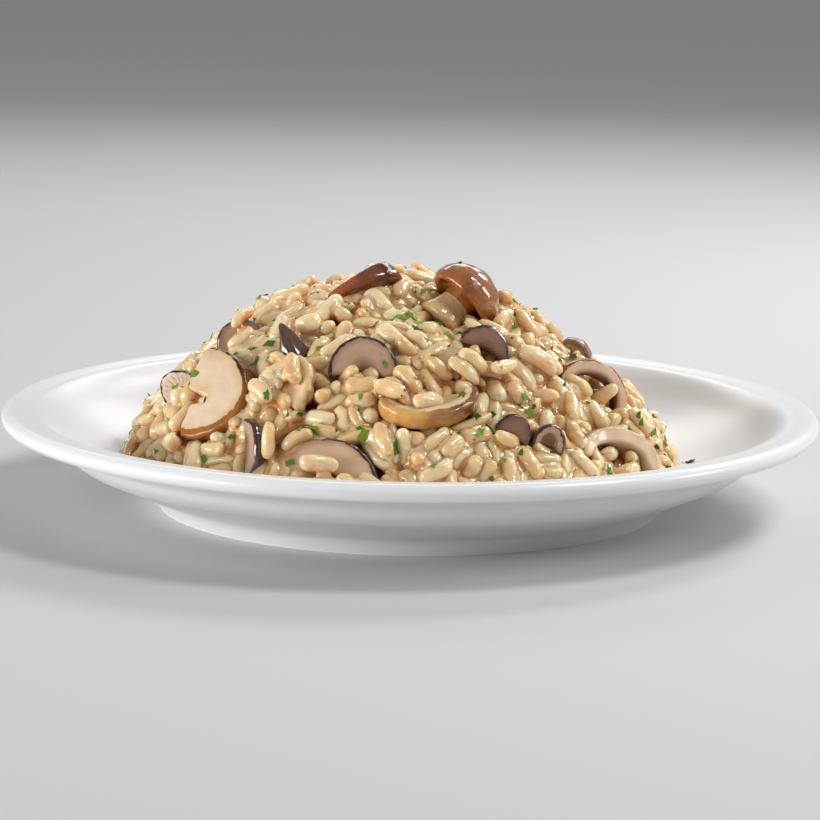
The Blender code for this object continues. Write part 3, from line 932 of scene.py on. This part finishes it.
def melted(name, rough, voxel, rounds):
    """A mesh melted into one fine even net, with softened edges; the rough mesh goes."""
    holder = add_object(name + "_rough", rough)
    net = holder.modifiers.new("Net", "REMESH")
    net.mode = "VOXEL"
    net.voxel_size = voxel * MM
    ease = holder.modifiers.new("Ease", "SMOOTH")
    ease.factor = 0.5
    ease.iterations = rounds
    depsgraph = bpy.context.evaluated_depsgraph_get()
    mesh = bpy.data.meshes.new_from_object(holder.evaluated_get(depsgraph))
    mesh.name = name
    bpy.data.objects.remove(holder)
    mesh.materials.clear()
    mesh.shade_smooth()
    return mesh


heap = bmesh.new()
for mesh in (core, *[piece.data for piece in rice_pieces]):
    heap.from_mesh(mesh)
rough_heap = bpy.data.meshes.new("rough_heap")
heap.to_mesh(rough_heap)
heap.free()
sauce = add_object("sauce", melted("sauce", rough_heap, SAUCE_VOXEL, 5))
print("sauce faces:", len(sauce.data.polygons))

# %% Let the sauce sink and thin out
SAUCE_SINK = 0.60
SAUCE_CREAM = 0.62
sauce_points, sauce_facing = read_points(sauce.data), read_points(sauce.data, "normal")
# Cream stands higher in wide patches, mostly on the left, and in small drops.
creamy = np.clip(0.35 + 1.5 * wobble(sauce_points / MM, 24.0, 5) - sauce_points[:, 0] / 0.3, 0, 1)
creamy += 0.35 * wobble(sauce_points / MM, 2.6, 6)
sauce_points += sauce_facing * ((SAUCE_CREAM * creamy - SAUCE_SINK) * MM)[:, None]
sauce.data.vertices.foreach_set("co", sauce_points.ravel())
depth = -rise_above(sauce_points / MM, surface)
store(sauce.data, "depth", depth)
sauce.data.update()
print("sauce depth in mm: mean", round(float(depth.mean()), 1))

# %% [markdown]
# The sauce is pale where it lies thin on top and a deep amber where it has pooled between the
# grains, so its colour follows the depth under the heap's form.  The darkest end of that scale is
# painted shade: it stands for the shade deep down between the grains.

# %% Colour the sauce
def sauce_material():
    cream = principled("cream_sauce", (0.6, 0.42, 0.24), 0.26, Coat_Weight=1.0,
                       Coat_Roughness=0.05, Coat_IOR=1.5, Specular_IOR_Level=0.2,
                       Subsurface_Weight=0.5, Subsurface_Scale=0.002,
                       Subsurface_Radius=(1.0, 0.7, 0.45))
    deep = stepped(cream, attribute(cream, "depth"), -0.5, 4.5)
    # Deep amber is the pooled sauce's own colour; the near-black end is painted shade.
    pooled_and_shaded = ramp_from(cream, deep,
                         [(0.0, (0.84, 0.61, 0.33)), (0.4, (0.66, 0.38, 0.14)),
                          (0.8, (0.36, 0.13, 0.022)), (1.0, (0.20, 0.055, 0.008))])
    # Shut-in places get a painted shade colour on top of the depth colour.
    join(cream, (shade_in_gaps(cream, pooled_and_shaded, (0.80, 0.42, 0.14)), surface_of(cream)["Base Color"]))
    bump_from(cream, noise_on(cream, RIPPLES, 4.0), 0.6, RIPPLE_HEIGHT)
    return cream


sauce.data.materials.append(sauce_material())
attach(sauce, "root")
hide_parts("risotto")

# %% [markdown]
# ## Shade in the gaps
# Light that reaches a gap between grains has been through rice and sauce, so gaps look warm and
# saturated, not grey.  For every point a few rays are sent outwards: the share that meets other
# rice nearby is stored as "shut_in", and the materials paint that shade in as a deeper colour.

# %% Measure how shut in every point is
LOOK_REACH = 6.0
LEAVE_SKIN = 0.05


def share_shut_in(mesh, tree):
    """For every point, the share of outward rays that are blocked within a short way."""
    places, facing = read_points(mesh), read_points(mesh, "normal")
    out = surface_normals(places[:, 0] / MM, places[:, 1] / MM)
    side = unit_rows(np.cross(out, (0.3, 1.0, 0.2)))
    other = np.cross(out, side)
    blocked = np.zeros(len(places))
    start = (places + facing * LEAVE_SKIN * MM).tolist()
    ways = (out, out + side, out - side, out + other, out - other)
    for way in ways:
        hits = [tree.ray_cast(origin, direction, LOOK_REACH * MM)[0] is not None
                for origin, direction in zip(start, unit_rows(way).tolist())]
        blocked += np.array(hits)
    return blocked / len(ways)


rice_tree = search_tree([*rice_pieces, sauce])
for item in (*rice_pieces, sauce):
    shut_in = share_shut_in(item.data, rice_tree)
    store(item.data, "shut_in", shut_in)
    print(item.name, "is shut in by", round(float(shut_in.mean()), 2), "on average")

# %% [markdown]
# ## The mushrooms
# Every slice of mushroom is one solid of the frame, with plain facets.  Its real twin is soft:
# rounded cut edges, a ragged line of skin, faces that dried a little wavy, and gills.  Each
# frame solid is copied, melted to a fine even net, and then shaped by how far each point lies
# from the skin.  The table says which way a slice runs and which side its skin is on.

# %% Say how each slice lies
SLICES = {
    "whole_cap": ("whole", (1, 0, -1), (0.68, 0.38, 0.58)),
    "crown_strip": ("half", (0.82, 0.48, 0.28), (0.1, -0.5, 0.8)),
    "shoulder_slice": ("half", (0.8, 0.1, 0.6), (-0.6, 0, 0.8)),
    "pointed_cap": ("wedge", (-0.45, 0.45, 0.77), (-0.9, 0, -0.4)),
    "center_arch": ("hook", (0.98, 0, 0.12), (0.1, 0.45, 0.88)),
    "big_slice": ("notched", (-0.3, -0.35, -0.88), (0.75, -0.6, 0)),
    "gill_slice": ("half", (0.67, 0.1, 0.74), (-0.74, 0, 0.67)),
    "edge_strip": ("half", (-0.05, 0.4, 0.9), (0.55, -0.8, 0.3)),
    "front_slice": ("half", (0.96, 0, -0.27), (0.25, 0.45, 0.86)),
    "smile_arch": ("arch", (0.95, 0.28, 0.1), (0.05, -0.88, -0.47)),
    "plum_slice": ("half", (0.92, -0.1, -0.38), (0.37, 0.35, 0.86)),
    "grey_slice": ("half", (0.84, 0.1, -0.53), (0.5, 0.25, 0.83)),
    "small_curl": ("arch", (0.93, 0.1, -0.35), (0.33, 0.3, 0.9)),
    "right_arch": ("arch", (0.8, 0.35, -0.5), (0.42, 0.3, 0.85)),
    "skyline_slice": ("half", (0.6, -0.15, -0.78), (0.7, -0.2, 0.65)),
    "low_arch": ("arch", (0.9, 0.36, -0.25), (0.1, 0.55, 0.85)),
    "sauced_slice": ("half", (0.64, -0.68, -0.23), (0.55, 0.25, 0.8)),
    "grey_flat": ("half", (0.79, -0.37, -0.48), (0.6, 0.35, 0.72)),
    "grey_chip": ("half", (0.95, 0, -0.2), (0.2, 0.3, 0.9)),
    "amber_sliver": ("half", (0.9, 0.1, 0.35), (-0.3, -0.6, 0.7)),
    "back_arch": ("arch", (-0.95, -0.12, -0.23), (-0.1, -0.65, 0.75)),
    "back_half": ("notched", (-0.65, 0.5, -0.25), (-0.5, -0.35, 0.6)),
    "back_slice": ("half", (-0.62, -0.46, -0.04), (0.3, -0.45, 0.55)),
    "back_point": ("wedge", (0.8, 0.3, -0.37), (-0.44, 0.75, -0.34)),
    "left_arch": ("hook", (-0.39, -0.88, -0.2), (0.5, -0.4, 0.77)),
    "right_half": ("half", (-0.35, 0.75, -0.2), (-0.5, -0.05, 0.66)),
    "back_strip": ("half", (0.7, -0.6, -0.07), (0.5, 0.5, 0.7)),
    "left_slice": ("half", (-0.54, -0.81, -0.3), (0.3, -0.5, 0.83)),
    "back_low": ("half", (-0.84, -0.3, 0.4), (0.5, -0.5, 0.67)),
}
# How far a kind's outline hangs below the middle of its skin arc, as a share of its rise.
HANGS_BELOW = {"half": 0.06, "arch": 0.14, "notched": 0.22, "hook": 0.24}


def unit(vector):
    return np.array(vector, float) / np.linalg.norm(vector)


def slice_axes(kind, along, skin):
    """Columns: along the slice, towards its skin, and through its thickness."""
    x_axis = unit(along)
    if kind == "whole":
        z_axis = unit(skin)
        y_axis = unit(np.cross(z_axis, x_axis))
        return np.column_stack([np.cross(y_axis, z_axis), y_axis, z_axis])
    z_axis = unit(np.cross(x_axis, unit(skin)))
    return np.column_stack([x_axis, np.cross(z_axis, x_axis), z_axis])


# %% Measure how deep a point lies under the skin
CAP_LEVEL = -0.12
STEM_DEPTH = 6.0


def skin_arc(kind, size):
    """The rise of the skin's arc, and the height of its middle in the slice's own axes."""
    rise = size[1] / (1 + HANGS_BELOW[kind])
    return rise, size[1] / 2 - rise


def depth_under_skin(kind, points, size):
    """Distance in mm from the skin's arc, for points in a slice's own axes, centred."""
    if kind == "wedge":
        return np.zeros(len(points))
    if kind == "whole":
        return np.where(points[:, 2] > CAP_LEVEL * size[2], 0.0, STEM_DEPTH)
    rise, middle = skin_arc(kind, size)
    x, y = points[:, 0], np.maximum(points[:, 1] - middle, 0)
    share = np.sqrt((x / (size[0] / 2)) ** 2 + (y / rise) ** 2)
    return np.hypot(x, y) * (1 / np.maximum(share, 1e-3) - 1)


# %% [markdown]
# Some arched slices still have their gills in the hollow, as a thin half disc.  It is melted
# together with the slice, so that the two grow into one piece.

# %% Melt a slice into a fine net
SLICE_VOXEL = 0.5
OPEN_ARCHES = ("right_arch", "low_arch", "left_arch")
SOFTENED = 5
SOFTENED_MORE = {"whole_cap": 16, "crown_strip": 40, "pointed_cap": 8}
WEB_WIDTH, WEB_RISE = 0.42, 0.84
WEB_THICK = {"hook": 0.46, "arch": 0.14}
WEB_CORNERS = 13


def gill_web(kind, size):
    """Corners and faces of the half disc that closes the hollow of an arched slice."""
    rise, middle = skin_arc(kind, size)
    turns = [math.pi * i / (WEB_CORNERS - 1) for i in range(WEB_CORNERS)]
    rim = [(WEB_WIDTH * size[0] * math.cos(turn), middle + WEB_RISE * rise * math.sin(turn))
           for turn in turns]
    corners = [(x, y, z * size[2]) for z in (-WEB_THICK[kind], WEB_THICK[kind]) for x, y in rim]
    front = list(range(WEB_CORNERS))
    back = [WEB_CORNERS + i for i in front]
    sides = [[i, k, back[k], back[i]] for i, k in zip(front, front[1:] + front[:1])]
    return np.array(corners), sides + [front[::-1], back]


def melted_slice(node_name, own, kind, size):
    """The fine net of a slice, from its node's points in the slice's own axes."""
    corners = own.tolist()
    faces = [list(polygon.vertices) for polygon in frame["nodes"][node_name].data.polygons]
    if kind in WEB_THICK and node_name not in OPEN_ARCHES:
        web_corners, web_faces = gill_web(kind, size)
        faces += [[len(corners) + i for i in face] for face in web_faces]
        corners += web_corners.tolist()
    rough = bpy.data.meshes.new(node_name + "_rough")
    rough.from_pydata((np.array(corners) * MM).tolist(), [], faces)
    rounds = SOFTENED_MORE.get(node_name, SOFTENED)
    return melted("mushroom_" + node_name, rough, SLICE_VOXEL, rounds)


# %% [markdown]
# Noise does the ageing.  A slow wave warps the whole slice, a quicker one makes the rim ragged,
# and on slices that show their gills thin ribs fan out from the middle of the cap.  Torn
# pieces get ridges or lumps, strips taper, and the whole mushroom's stem flares.

# %% Age a slice
GILLED = {"gill_slice": 26, "right_half": 34, "back_low": 22}
LUMPY = {"sauced_slice": 1.8, "grey_flat": 0.7, "grey_chip": 0.6, "plum_slice": 0.7}
TAPERED = {"crown_strip": (1.0, 1.15), "back_strip": (1.0, 0.4), "amber_sliver": (0.85, -0.5)}
STEM_FLARE = 0.9
# How far, in mm, each kind of wave moves the surface.
SLOW_WAVE, FINE_WAVE, RAGGED_RIM = 0.22, 0.04, 0.35
WARP, TORN_RIDGES, RIB_HEIGHT = 0.7, 0.6, 0.16
RIM_REACH = 0.8


def aged_points(node_name, kind, size, points, facing, depth, seed):
    """The points of a slice, moved by noise, and the height of its gill ribs."""

    def swell(amount):
        return facing * amount[:, None]

    moved = points + swell(SLOW_WAVE * wobble(points, 5.0, seed))
    moved += swell(FINE_WAVE * wobble(points, 1.3, seed + 1))
    if kind == "whole":
        foot = np.clip(CAP_LEVEL - points[:, 2] / size[2], 0, 1)
        stem_middle = points[foot > 0, :2].mean(0)
        moved[:, :2] += (points[:, :2] - stem_middle) * (STEM_FLARE * foot)[:, None]
    else:
        ragged = RAGGED_RIM * wobble(points * (1, 1, 0.3), 2.0, seed + 4)
        moved[:, :2] += swell(ragged * np.exp(-depth / RIM_REACH))[:, :2]
        moved[:, 2] += WARP * wobble(points * (1, 1, 0), 9.0, seed + 2)
    if kind == "wedge":
        moved += swell(TORN_RIDGES * wobble(points * (0.2, 1, 1), 1.5, seed + 6))
    if node_name in LUMPY:
        moved += swell(LUMPY[node_name] * (0.2 + wobble(points, 4.5, seed + 5)))
    if node_name in TAPERED:
        usual, growth = TAPERED[node_name]
        moved[:, 1:] *= (usual + growth * points[:, :1] / size[0])
    rib = np.zeros(len(points))
    if node_name in GILLED:
        turn = np.arctan2(points[:, 1] + size[1] / 2, points[:, 0])
        rib = np.sin(turn * GILLED[node_name] + 2 * wobble(points, 4.0, seed + 3))
        rib *= np.clip((depth - 1.0) / 0.8, 0, 1)
        moved += swell(RIB_HEIGHT * rib * abs(facing[:, 2]))
    return moved, rib


# %% Shape every slice
def shape_slice(node_name, seed):
    kind, along, skin = SLICES[node_name]
    turned = slice_axes(kind, along, skin)
    own = node_points(node_name) @ turned
    middle = (own.min(0) + own.max(0)) / 2
    size = own.max(0) - own.min(0)
    mesh = melted_slice(node_name, own - middle, kind, size)
    points, facing = read_points(mesh) / MM, read_points(mesh, "normal")
    depth = depth_under_skin(kind, points, size)
    moved, rib = aged_points(node_name, kind, size, points, facing, depth, seed)
    mesh.vertices.foreach_set("co", (moved * MM).ravel())
    store(mesh, "depth", depth)
    store(mesh, "rib", rib)
    store(mesh, "along", points[:, 0] / size[0])
    mesh.update()
    item = add_object("mushroom_" + node_name, mesh)
    place = Matrix(turned.tolist()).to_4x4()
    place.translation = Vector((turned @ middle * MM).tolist())
    item.matrix_world = place
    return item


slices = {name: shape_slice(name, seed) for seed, name in enumerate(SLICES)}
slice_faces = sum(len(item.data.polygons) for item in slices.values())
print("slices:", len(slices), " faces:", slice_faces)

# %% [markdown]
# ## The skin and the flesh
# One recipe, with other numbers for each slice.  The depth under the skin picks the colour: a
# thin line of skin, a stained zone, then clear flesh, and gill brown at the inside.  A little
# noise on the depth makes the skin line thick and thin by turns.

# %% Name the colours of skin and flesh
SKINS = {   # (dark, light)
    "amber": ((0.22, 0.065, 0.008), (0.72, 0.40, 0.12)),
    "brown": ((0.11, 0.030, 0.008), (0.34, 0.125, 0.032)),
    "mahogany": ((0.045, 0.009, 0.003), (0.40, 0.095, 0.012)),
    "roast": ((0.07, 0.013, 0.002), (0.37, 0.13, 0.022)),
    "tan": ((0.15, 0.040, 0.006), (0.48, 0.165, 0.026)),
    "purple": ((0.022, 0.008, 0.005), (0.095, 0.040, 0.026)),
    "slate": ((0.018, 0.007, 0.005), (0.22, 0.11, 0.062)),
    "fawn": ((0.20, 0.09, 0.05), (0.52, 0.34, 0.22)),
    "taupe": ((0.34, 0.20, 0.10), (0.52, 0.34, 0.18)),
}
FLESHES = {   # (near the skin, middle, inside)
    "cream": ((0.64, 0.42, 0.21), (0.77, 0.60, 0.43), (0.70, 0.46, 0.22)),
    "tender": ((0.66, 0.42, 0.19), (0.82, 0.65, 0.42), (0.70, 0.46, 0.22)),
    "white": ((0.88, 0.72, 0.60), (0.96, 0.86, 0.76), (0.88, 0.70, 0.56)),
    "damp": ((0.44, 0.24, 0.085), (0.68, 0.46, 0.22), (0.50, 0.30, 0.12)),
    "beige": ((0.34, 0.18, 0.09), (0.56, 0.38, 0.24), (0.13, 0.048, 0.016)),
    "pale": ((0.60, 0.42, 0.25), (0.84, 0.65, 0.46), (0.24, 0.12, 0.05)),
    "mauve": ((0.19, 0.092, 0.055), (0.50, 0.33, 0.225), (0.24, 0.11, 0.06)),
    "rose": ((0.28, 0.14, 0.08), (0.68, 0.47, 0.31), (0.60, 0.38, 0.22)),
    "plum": ((0.11, 0.05, 0.04), (0.29, 0.16, 0.115), (0.17, 0.085, 0.055)),
    "dull": ((0.52, 0.34, 0.17), (0.68, 0.48, 0.29), (0.56, 0.36, 0.19)),
    "sauced": ((0.78, 0.54, 0.28), (0.88, 0.66, 0.40), (0.72, 0.48, 0.24)),
    "mahogany": ((0.15, 0.036, 0.009), (0.22, 0.060, 0.014), (0.12, 0.030, 0.008)),
    "hollow": ((0.50, 0.30, 0.17), (0.76, 0.56, 0.39), (0.13, 0.048, 0.016)),
}
LOOKS = {   # skin, flesh, skin width in mm, depth of the inside in mm
    "whole_cap": ("tan", "damp", 2.0, 9.0), "crown_strip": ("mahogany", "mahogany", 12.0, 6.0),
    "shoulder_slice": ("purple", "mauve", 0.4, 7.0), "pointed_cap": ("slate", "plum", 2.0, 6.0),
    "center_arch": ("purple", "mauve", 1.1, 9.0), "big_slice": ("roast", "cream", 1.8, 16.0),
    "gill_slice": ("purple", "white", 0.5, 6.0), "edge_strip": ("purple", "mauve", 0.9, 5.0),
    "front_slice": ("purple", "rose", 1.0, 9.0), "smile_arch": ("amber", "tender", 2.4, 5.0),
    "plum_slice": ("purple", "plum", 0.8, 6.0), "grey_slice": ("purple", "plum", 0.4, 7.0),
    "small_curl": ("purple", "mauve", 0.9, 3.5), "right_arch": ("brown", "hollow", 0.6, 4.2),
    "skyline_slice": ("fawn", "beige", 1.4, 5.0), "low_arch": ("taupe", "pale", 0.2, 6.5),
    "sauced_slice": ("taupe", "sauced", 0.0, 8.0), "grey_flat": ("taupe", "dull", 0.3, 8.0),
    "grey_chip": ("taupe", "dull", 0.3, 8.0), "amber_sliver": ("amber", "beige", 2.0, 5.0),
    "back_arch": ("purple", "mauve", 0.6, 5.5), "back_half": ("brown", "cream", 0.9, 9.0),
    "back_slice": ("purple", "mauve", 0.6, 8.0), "back_point": ("slate", "plum", 2.0, 6.0),
    "left_arch": ("brown", "beige", 0.8, 5.0), "right_half": ("taupe", "pale", 0.5, 8.0),
    "back_strip": ("mahogany", "mahogany", 12.0, 6.0), "left_slice": ("purple", "mauve", 0.5, 7.0),
    "back_low": ("purple", "plum", 0.7, 7.0),
}
# How the skin changes along a slice: (wider towards its far end in mm, darker towards it).
CHANGES_ALONG = {"big_slice": (2.6, -0.7), "smile_arch": (-1.0, 0.7), "amber_sliver": (0.0, 0.5),
                 "crown_strip": (0.0, 0.45), "front_slice": (2.2, 0.0), "back_half": (2.0, 0.4)}


# %% Colour the flesh by its depth
WANDERS = 1.2      # mm that slow noise adds to the depth at most


def add_up(material, first, second, factor):
    """first + second * factor, where first and second are outputs and factor is a number."""
    item = add_node(material, "Math", operation="MULTIPLY_ADD")
    item.inputs[1].default_value = factor
    join(material, (second, item.inputs[0]), (first, item.inputs[2]))
    return item.outputs[0]


def flesh_colour(material, flesh_name, inside, depth, slow):
    """Stained near the skin, then clear, then brown at the inside; darker in gill grooves."""
    stained, clear, inner = FLESHES[flesh_name]
    flesh = ramp_from(material, stepped(material, depth, WANDERS / 2, inside + WANDERS / 2),
                      [(0.0, stained), (0.3, clear), (0.62, clear), (1.0, inner)])
    cloudy = ramp_from(material, slow, [(0.3, (0.90, 0.86, 0.82)), (0.7, WHITE)])
    flesh = mixed(material, flesh, cloudy, 0.7, "MULTIPLY")
    ribs = ramp_from(material, stepped(material, attribute(material, "rib"), -1.0, 1.0),
                     [(0.0, (0.62, 0.50, 0.46)), (0.5, WHITE), (1.0, WHITE)])
    return mixed(material, flesh, ribs, 1.0, "MULTIPLY")


# %% [markdown]
# Wet skin has a clear film on it.  The wettest pieces have a full, strong coat and a bump that
# breaks its highlight up.  The others have a thinner film, and cut flesh is the least wet.

# %% Colour the slices
WETTEST = ("crown_strip", "whole_cap", "pointed_cap", "small_curl", "edge_strip", "back_point",
           "plum_slice", "smile_arch", "back_strip")
FILM = {True: (1.0, 1.7, 0.12, 0.85), False: (0.6, 1.5, 0.06, 0.2)}   # weight, IOR, spread, bump
FLESH_ROUGH, SKIN_ROUGH = 0.42, 0.24
FLESH_FILM = 0.5
SKIN_FADES = 0.3      # mm over which the skin turns to flesh
# How fine each kind of noise is.
SLOW_PATCHES, SKIN_CLOUDS, RAGGED_LINE, SKIN_RIPPLES = 260.0, 110.0, 620.0, 900.0


def mushroom_material(node_name):
    film, shine, spread, bumpy = FILM[node_name in WETTEST]
    skin_name, flesh_name, skin_width, inside = LOOKS[node_name]
    wider, darker = CHANGES_ALONG.get(node_name, (0.0, 0.0))
    wet = principled(node_name + "_look", FLESHES[flesh_name][1], FLESH_ROUGH, Coat_Weight=film,
                     Coat_Roughness=spread, Coat_IOR=shine, Specular_IOR_Level=0.15,
                     Subsurface_Weight=0.3, Subsurface_Scale=0.0015,
                     Subsurface_Radius=(1.0, 0.5, 0.3))
    slow, along = noise_on(wet, SLOW_PATCHES), attribute(wet, "along")
    depth = add_up(wet, attribute(wet, "depth"), slow, WANDERS)
    flesh = flesh_colour(wet, flesh_name, inside, depth, slow)
    dark, light = SKINS[skin_name]
    skin = ramp_from(wet, add_up(wet, noise_on(wet, SKIN_CLOUDS), along, -darker),
                     [(0.22, dark), (0.78, light)])
    ragged = add_up(wet, add_up(wet, depth, along, -wider), noise_on(wet, RAGGED_LINE), 1.3)
    edge = skin_width + WANDERS
    is_skin = stepped(wet, ragged, edge, edge + SKIN_FADES, 1.0, 0.0)
    roughness = stepped(wet, is_skin, 0.0, 1.0, FLESH_ROUGH, SKIN_ROUGH)
    coat = stepped(wet, is_skin, 0.0, 1.0, FLESH_FILM, film)
    join(wet, (mixed(wet, flesh, skin, is_skin), surface_of(wet)["Base Color"]),
         (roughness, surface_of(wet)["Roughness"]), (coat, surface_of(wet)["Coat Weight"]))
    bump_from(wet, noise_on(wet, SKIN_RIPPLES, 3.0), bumpy, RIPPLE_HEIGHT)
    return wet


slot_of = {row["node"]: row["material_slot"] for row in frame["record"]["subparts"]}
for node_name, item in slices.items():
    item.data.materials.append(mushroom_material(node_name))
    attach(item, "root")
    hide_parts(node_name)
print("slices in each slot:", Counter(slot_of[node_name] for node_name in slices))

# %% [markdown]
# ## Parsley
# Chopped parsley is mostly tiny flecks, with a few torn leaf tips.  Each is a little curled
# leaf with a lobed outline and a real thickness.  To lay one down, a ray is shot at the heap
# from outside, and the leaf is laid on whatever the ray meets: rice, sauce or mushroom.

# %% Find what the flecks land on
DROP_FROM = 25
bpy.context.view_layer.update()
dish_top = search_tree([*rice_pieces, sauce, plate, *slices.values()])
slice_tops = search_tree(slices.values())


def landing(x, y):
    """Where something dropped onto the heap along its normal lands, and how it lies there."""
    out = Vector(surface_normals(x, y).tolist())
    start = Vector((x, y, read_grid(surface, x, y)))
    return dish_top.ray_cast((start + out * DROP_FROM) * MM, -out)[:2]


print("the middle of the heap is met at", round(landing(0, 0)[0].z / MM, 1), "mm")

# %% Cut one leaf
LEAF_SHARE = 0.62
LIFT = 0.03
herbs = random.Random(16)


def leaf_outline(size, lobes):
    """A lobed leaf tip in its own plane, with its stem end at -X."""
    outline = []
    for i in range(lobes * 2 + 2):
        turn = 2 * math.pi * i / (lobes * 2 + 2)
        reach = size / 2 * (1.0 if i % 2 else LEAF_SHARE) * herbs.uniform(0.75, 1.15)
        outline.append((reach * math.cos(turn), LEAF_SHARE * reach * math.sin(turn)))
    return outline


def add_leaf(shape, tone_layer, tone, spot, facing, size, lobes):
    """Adds one curled leaf with a thickness to the shape."""
    spin = herbs.uniform(0, 2 * math.pi)
    lean = Vector([herbs.gauss(0, 0.25) for _ in range(3)])
    up = (facing + lean).normalized()
    side = up.orthogonal().normalized()
    side.rotate(Matrix.Rotation(spin, 3, up))
    other = up.cross(side)
    curl = herbs.uniform(-0.5, 0.9) / size
    thick = min(0.22, 0.12 + 0.03 * size)
    outline = leaf_outline(size, lobes)
    rings = []
    for level in (LIFT, LIFT + thick):
        ring = [spot + (side * x + other * y + up * (curl * x * x + level)) * MM
                for x, y in outline]
        rings.append([shape.verts.new(place) for place in ring])
    middles = [shape.verts.new(spot + up * level * MM) for level in (0.0, 2 * LIFT + thick)]
    for vert in rings[0] + rings[1] + middles:
        vert[tone_layer] = tone
    for i in range(len(outline)):
        k = (i + 1) % len(outline)
        shape.faces.new((rings[0][i], rings[0][k], rings[1][k], rings[1][i]))
        shape.faces.new((middles[0], rings[0][k], rings[0][i]))
        shape.faces.new((middles[1], rings[1][i], rings[1][k]))


# %% [markdown]
# The bigger leaves have places of their own: the table names the slice that each lies at, then
# the place across and along that slice's box, and the leaf's size.  The flecks fall in loose
# crowds, in three sizes, and few of them stay on a slice.

# %% Scatter the parsley
LEAVES = [
    ("whole_cap", 0.18, 0.0, 5.2), ("whole_cap", -0.21, -0.1, 4.2),
    ("whole_cap", -0.15, -0.3, 3.6), ("right_arch", 0.85, 0.1, 6.2),
    ("smile_arch", 0.52, -0.35, 6.4), ("smile_arch", 0.18, -0.15, 5.6),
    ("big_slice", 0.36, 0.88, 4.4), ("right_arch", -0.1, 0.8, 3.2),
    ("smile_arch", 1.1, 0.5, 4.3), ("smile_arch", 0.8, 0.7, 4.4),
    ("front_slice", 0.3, 1.5, 5.2), ("sauced_slice", 0.74, 0.0, 4.3),
    ("sauced_slice", 0.24, 0.3, 4.2), ("low_arch", 0.4, 0.0, 4.2), ("low_arch", 0.72, 0.6, 3.6),
    ("shoulder_slice", 0.0, 0.86, 3.8), ("plum_slice", -0.23, 0.7, 4.4),
    ("pointed_cap", 1.3, 0.1, 3.4), ("smile_arch", 1.0, 0.3, 4.2), ("grey_flat", 0.0, 0.4, 4.0),
    ("center_arch", 0.05, 1.7, 3.2), ("crown_strip", 1.15, -1.2, 4.0),
    ("right_arch", 0.23, 0.8, 3.8), ("big_slice", 0.34, -0.1, 3.6),
    ("front_slice", 0.77, 1.25, 3.6), ("right_arch", 1.8, 2.1, 2.2),
    ("big_slice", 0.46, 0.5, 2.6), ("center_arch", 0.8, 0.24, 2.8),
    ("big_slice", 0.66, -0.1, 3.0), ("back_arch", 0.3, 1.2, 5.0), ("back_half", 0.6, 0.4, 4.0),
    ("left_arch", 0.4, 1.3, 4.5), ("right_half", 0.2, 0.2, 4.2), ("back_slice", 1.2, 0.3, 5.0),
    ("back_low", 0.5, -0.4, 4.0),
]
FLECKS = 480
# Up to which throw a fleck is of a kind, then the kind's sizes in mm, from and to, and its lobes.
FLECK_SIZES = ((0.45, 0.8, 1.8, 1), (0.88, 1.8, 3.4, 2), (1.0, 3.4, 5.8, 3))
FLECK_FIELD, FLECK_REACH = 90, 84
CROWD_SIZE = 14
KEPT_ON_SLICES = 0.05


def fleck_spots():
    """Spots for the flecks, one after another, each with the way its surface faces."""
    while True:
        x, y = (herbs.uniform(-FLECK_FIELD, FLECK_FIELD) for _ in range(2))
        crowd = noise.noise(Vector((x, y, 0)) / CROWD_SIZE)
        if math.hypot(x, y) > FLECK_REACH or herbs.random() > 0.45 + 1.3 * crowd:
            continue
        spot, facing = landing(x, y)
        if spot is None:
            continue
        on_slice = slice_tops.find_nearest(spot, 0.1 * MM)[0] is not None
        if not on_slice or herbs.random() <= KEPT_ON_SLICES:
            yield spot, facing


def parsley_mesh():
    shape = bmesh.new()
    tone_layer = shape.verts.layers.float.new("tone")
    for node_name, across, back, size in LEAVES:
        low, high = node_box(node_name)
        x, y = (low + (high - low) * (across, back, 0))[:2]
        spot, facing = landing(x, y)
        add_leaf(shape, tone_layer, herbs.uniform(0.2, 0.8), spot, facing, size, 4)
    for _, (spot, facing) in zip(range(FLECKS), fleck_spots()):
        dice = herbs.random()
        smallest, largest, lobes = next(row[1:] for row in FLECK_SIZES if dice < row[0])
        size = herbs.uniform(smallest, largest)
        add_leaf(shape, tone_layer, herbs.random(), spot, facing, size, lobes)
    return closed_mesh("parsley", shape)


# %% Colour the parsley
def parsley_material():
    leaf = principled("parsley_leaf", (0.08, 0.18, 0.03), 0.5, Coat_Weight=0.12,
                      Coat_Roughness=0.12, Specular_IOR_Level=0.2)
    greens = ramp_from(leaf, attribute(leaf, "tone"),
                       [(0.0, (0.045, 0.110, 0.006)), (0.5, (0.11, 0.225, 0.010)),
                        (1.0, (0.27, 0.38, 0.03))])
    veins = ramp_from(leaf, noise_on(leaf, 1400.0), [(0.35, (0.7, 0.75, 0.6)), (0.6, WHITE)])
    join(leaf, (mixed(leaf, greens, veins, 0.8, "MULTIPLY"), surface_of(leaf)["Base Color"]))
    return leaf


parsley = add_object("parsley", parsley_mesh())
parsley.data.materials.append(parsley_material())
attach(parsley, "root")
print("parsley flecks:", FLECKS, " faces:", len(parsley.data.polygons))
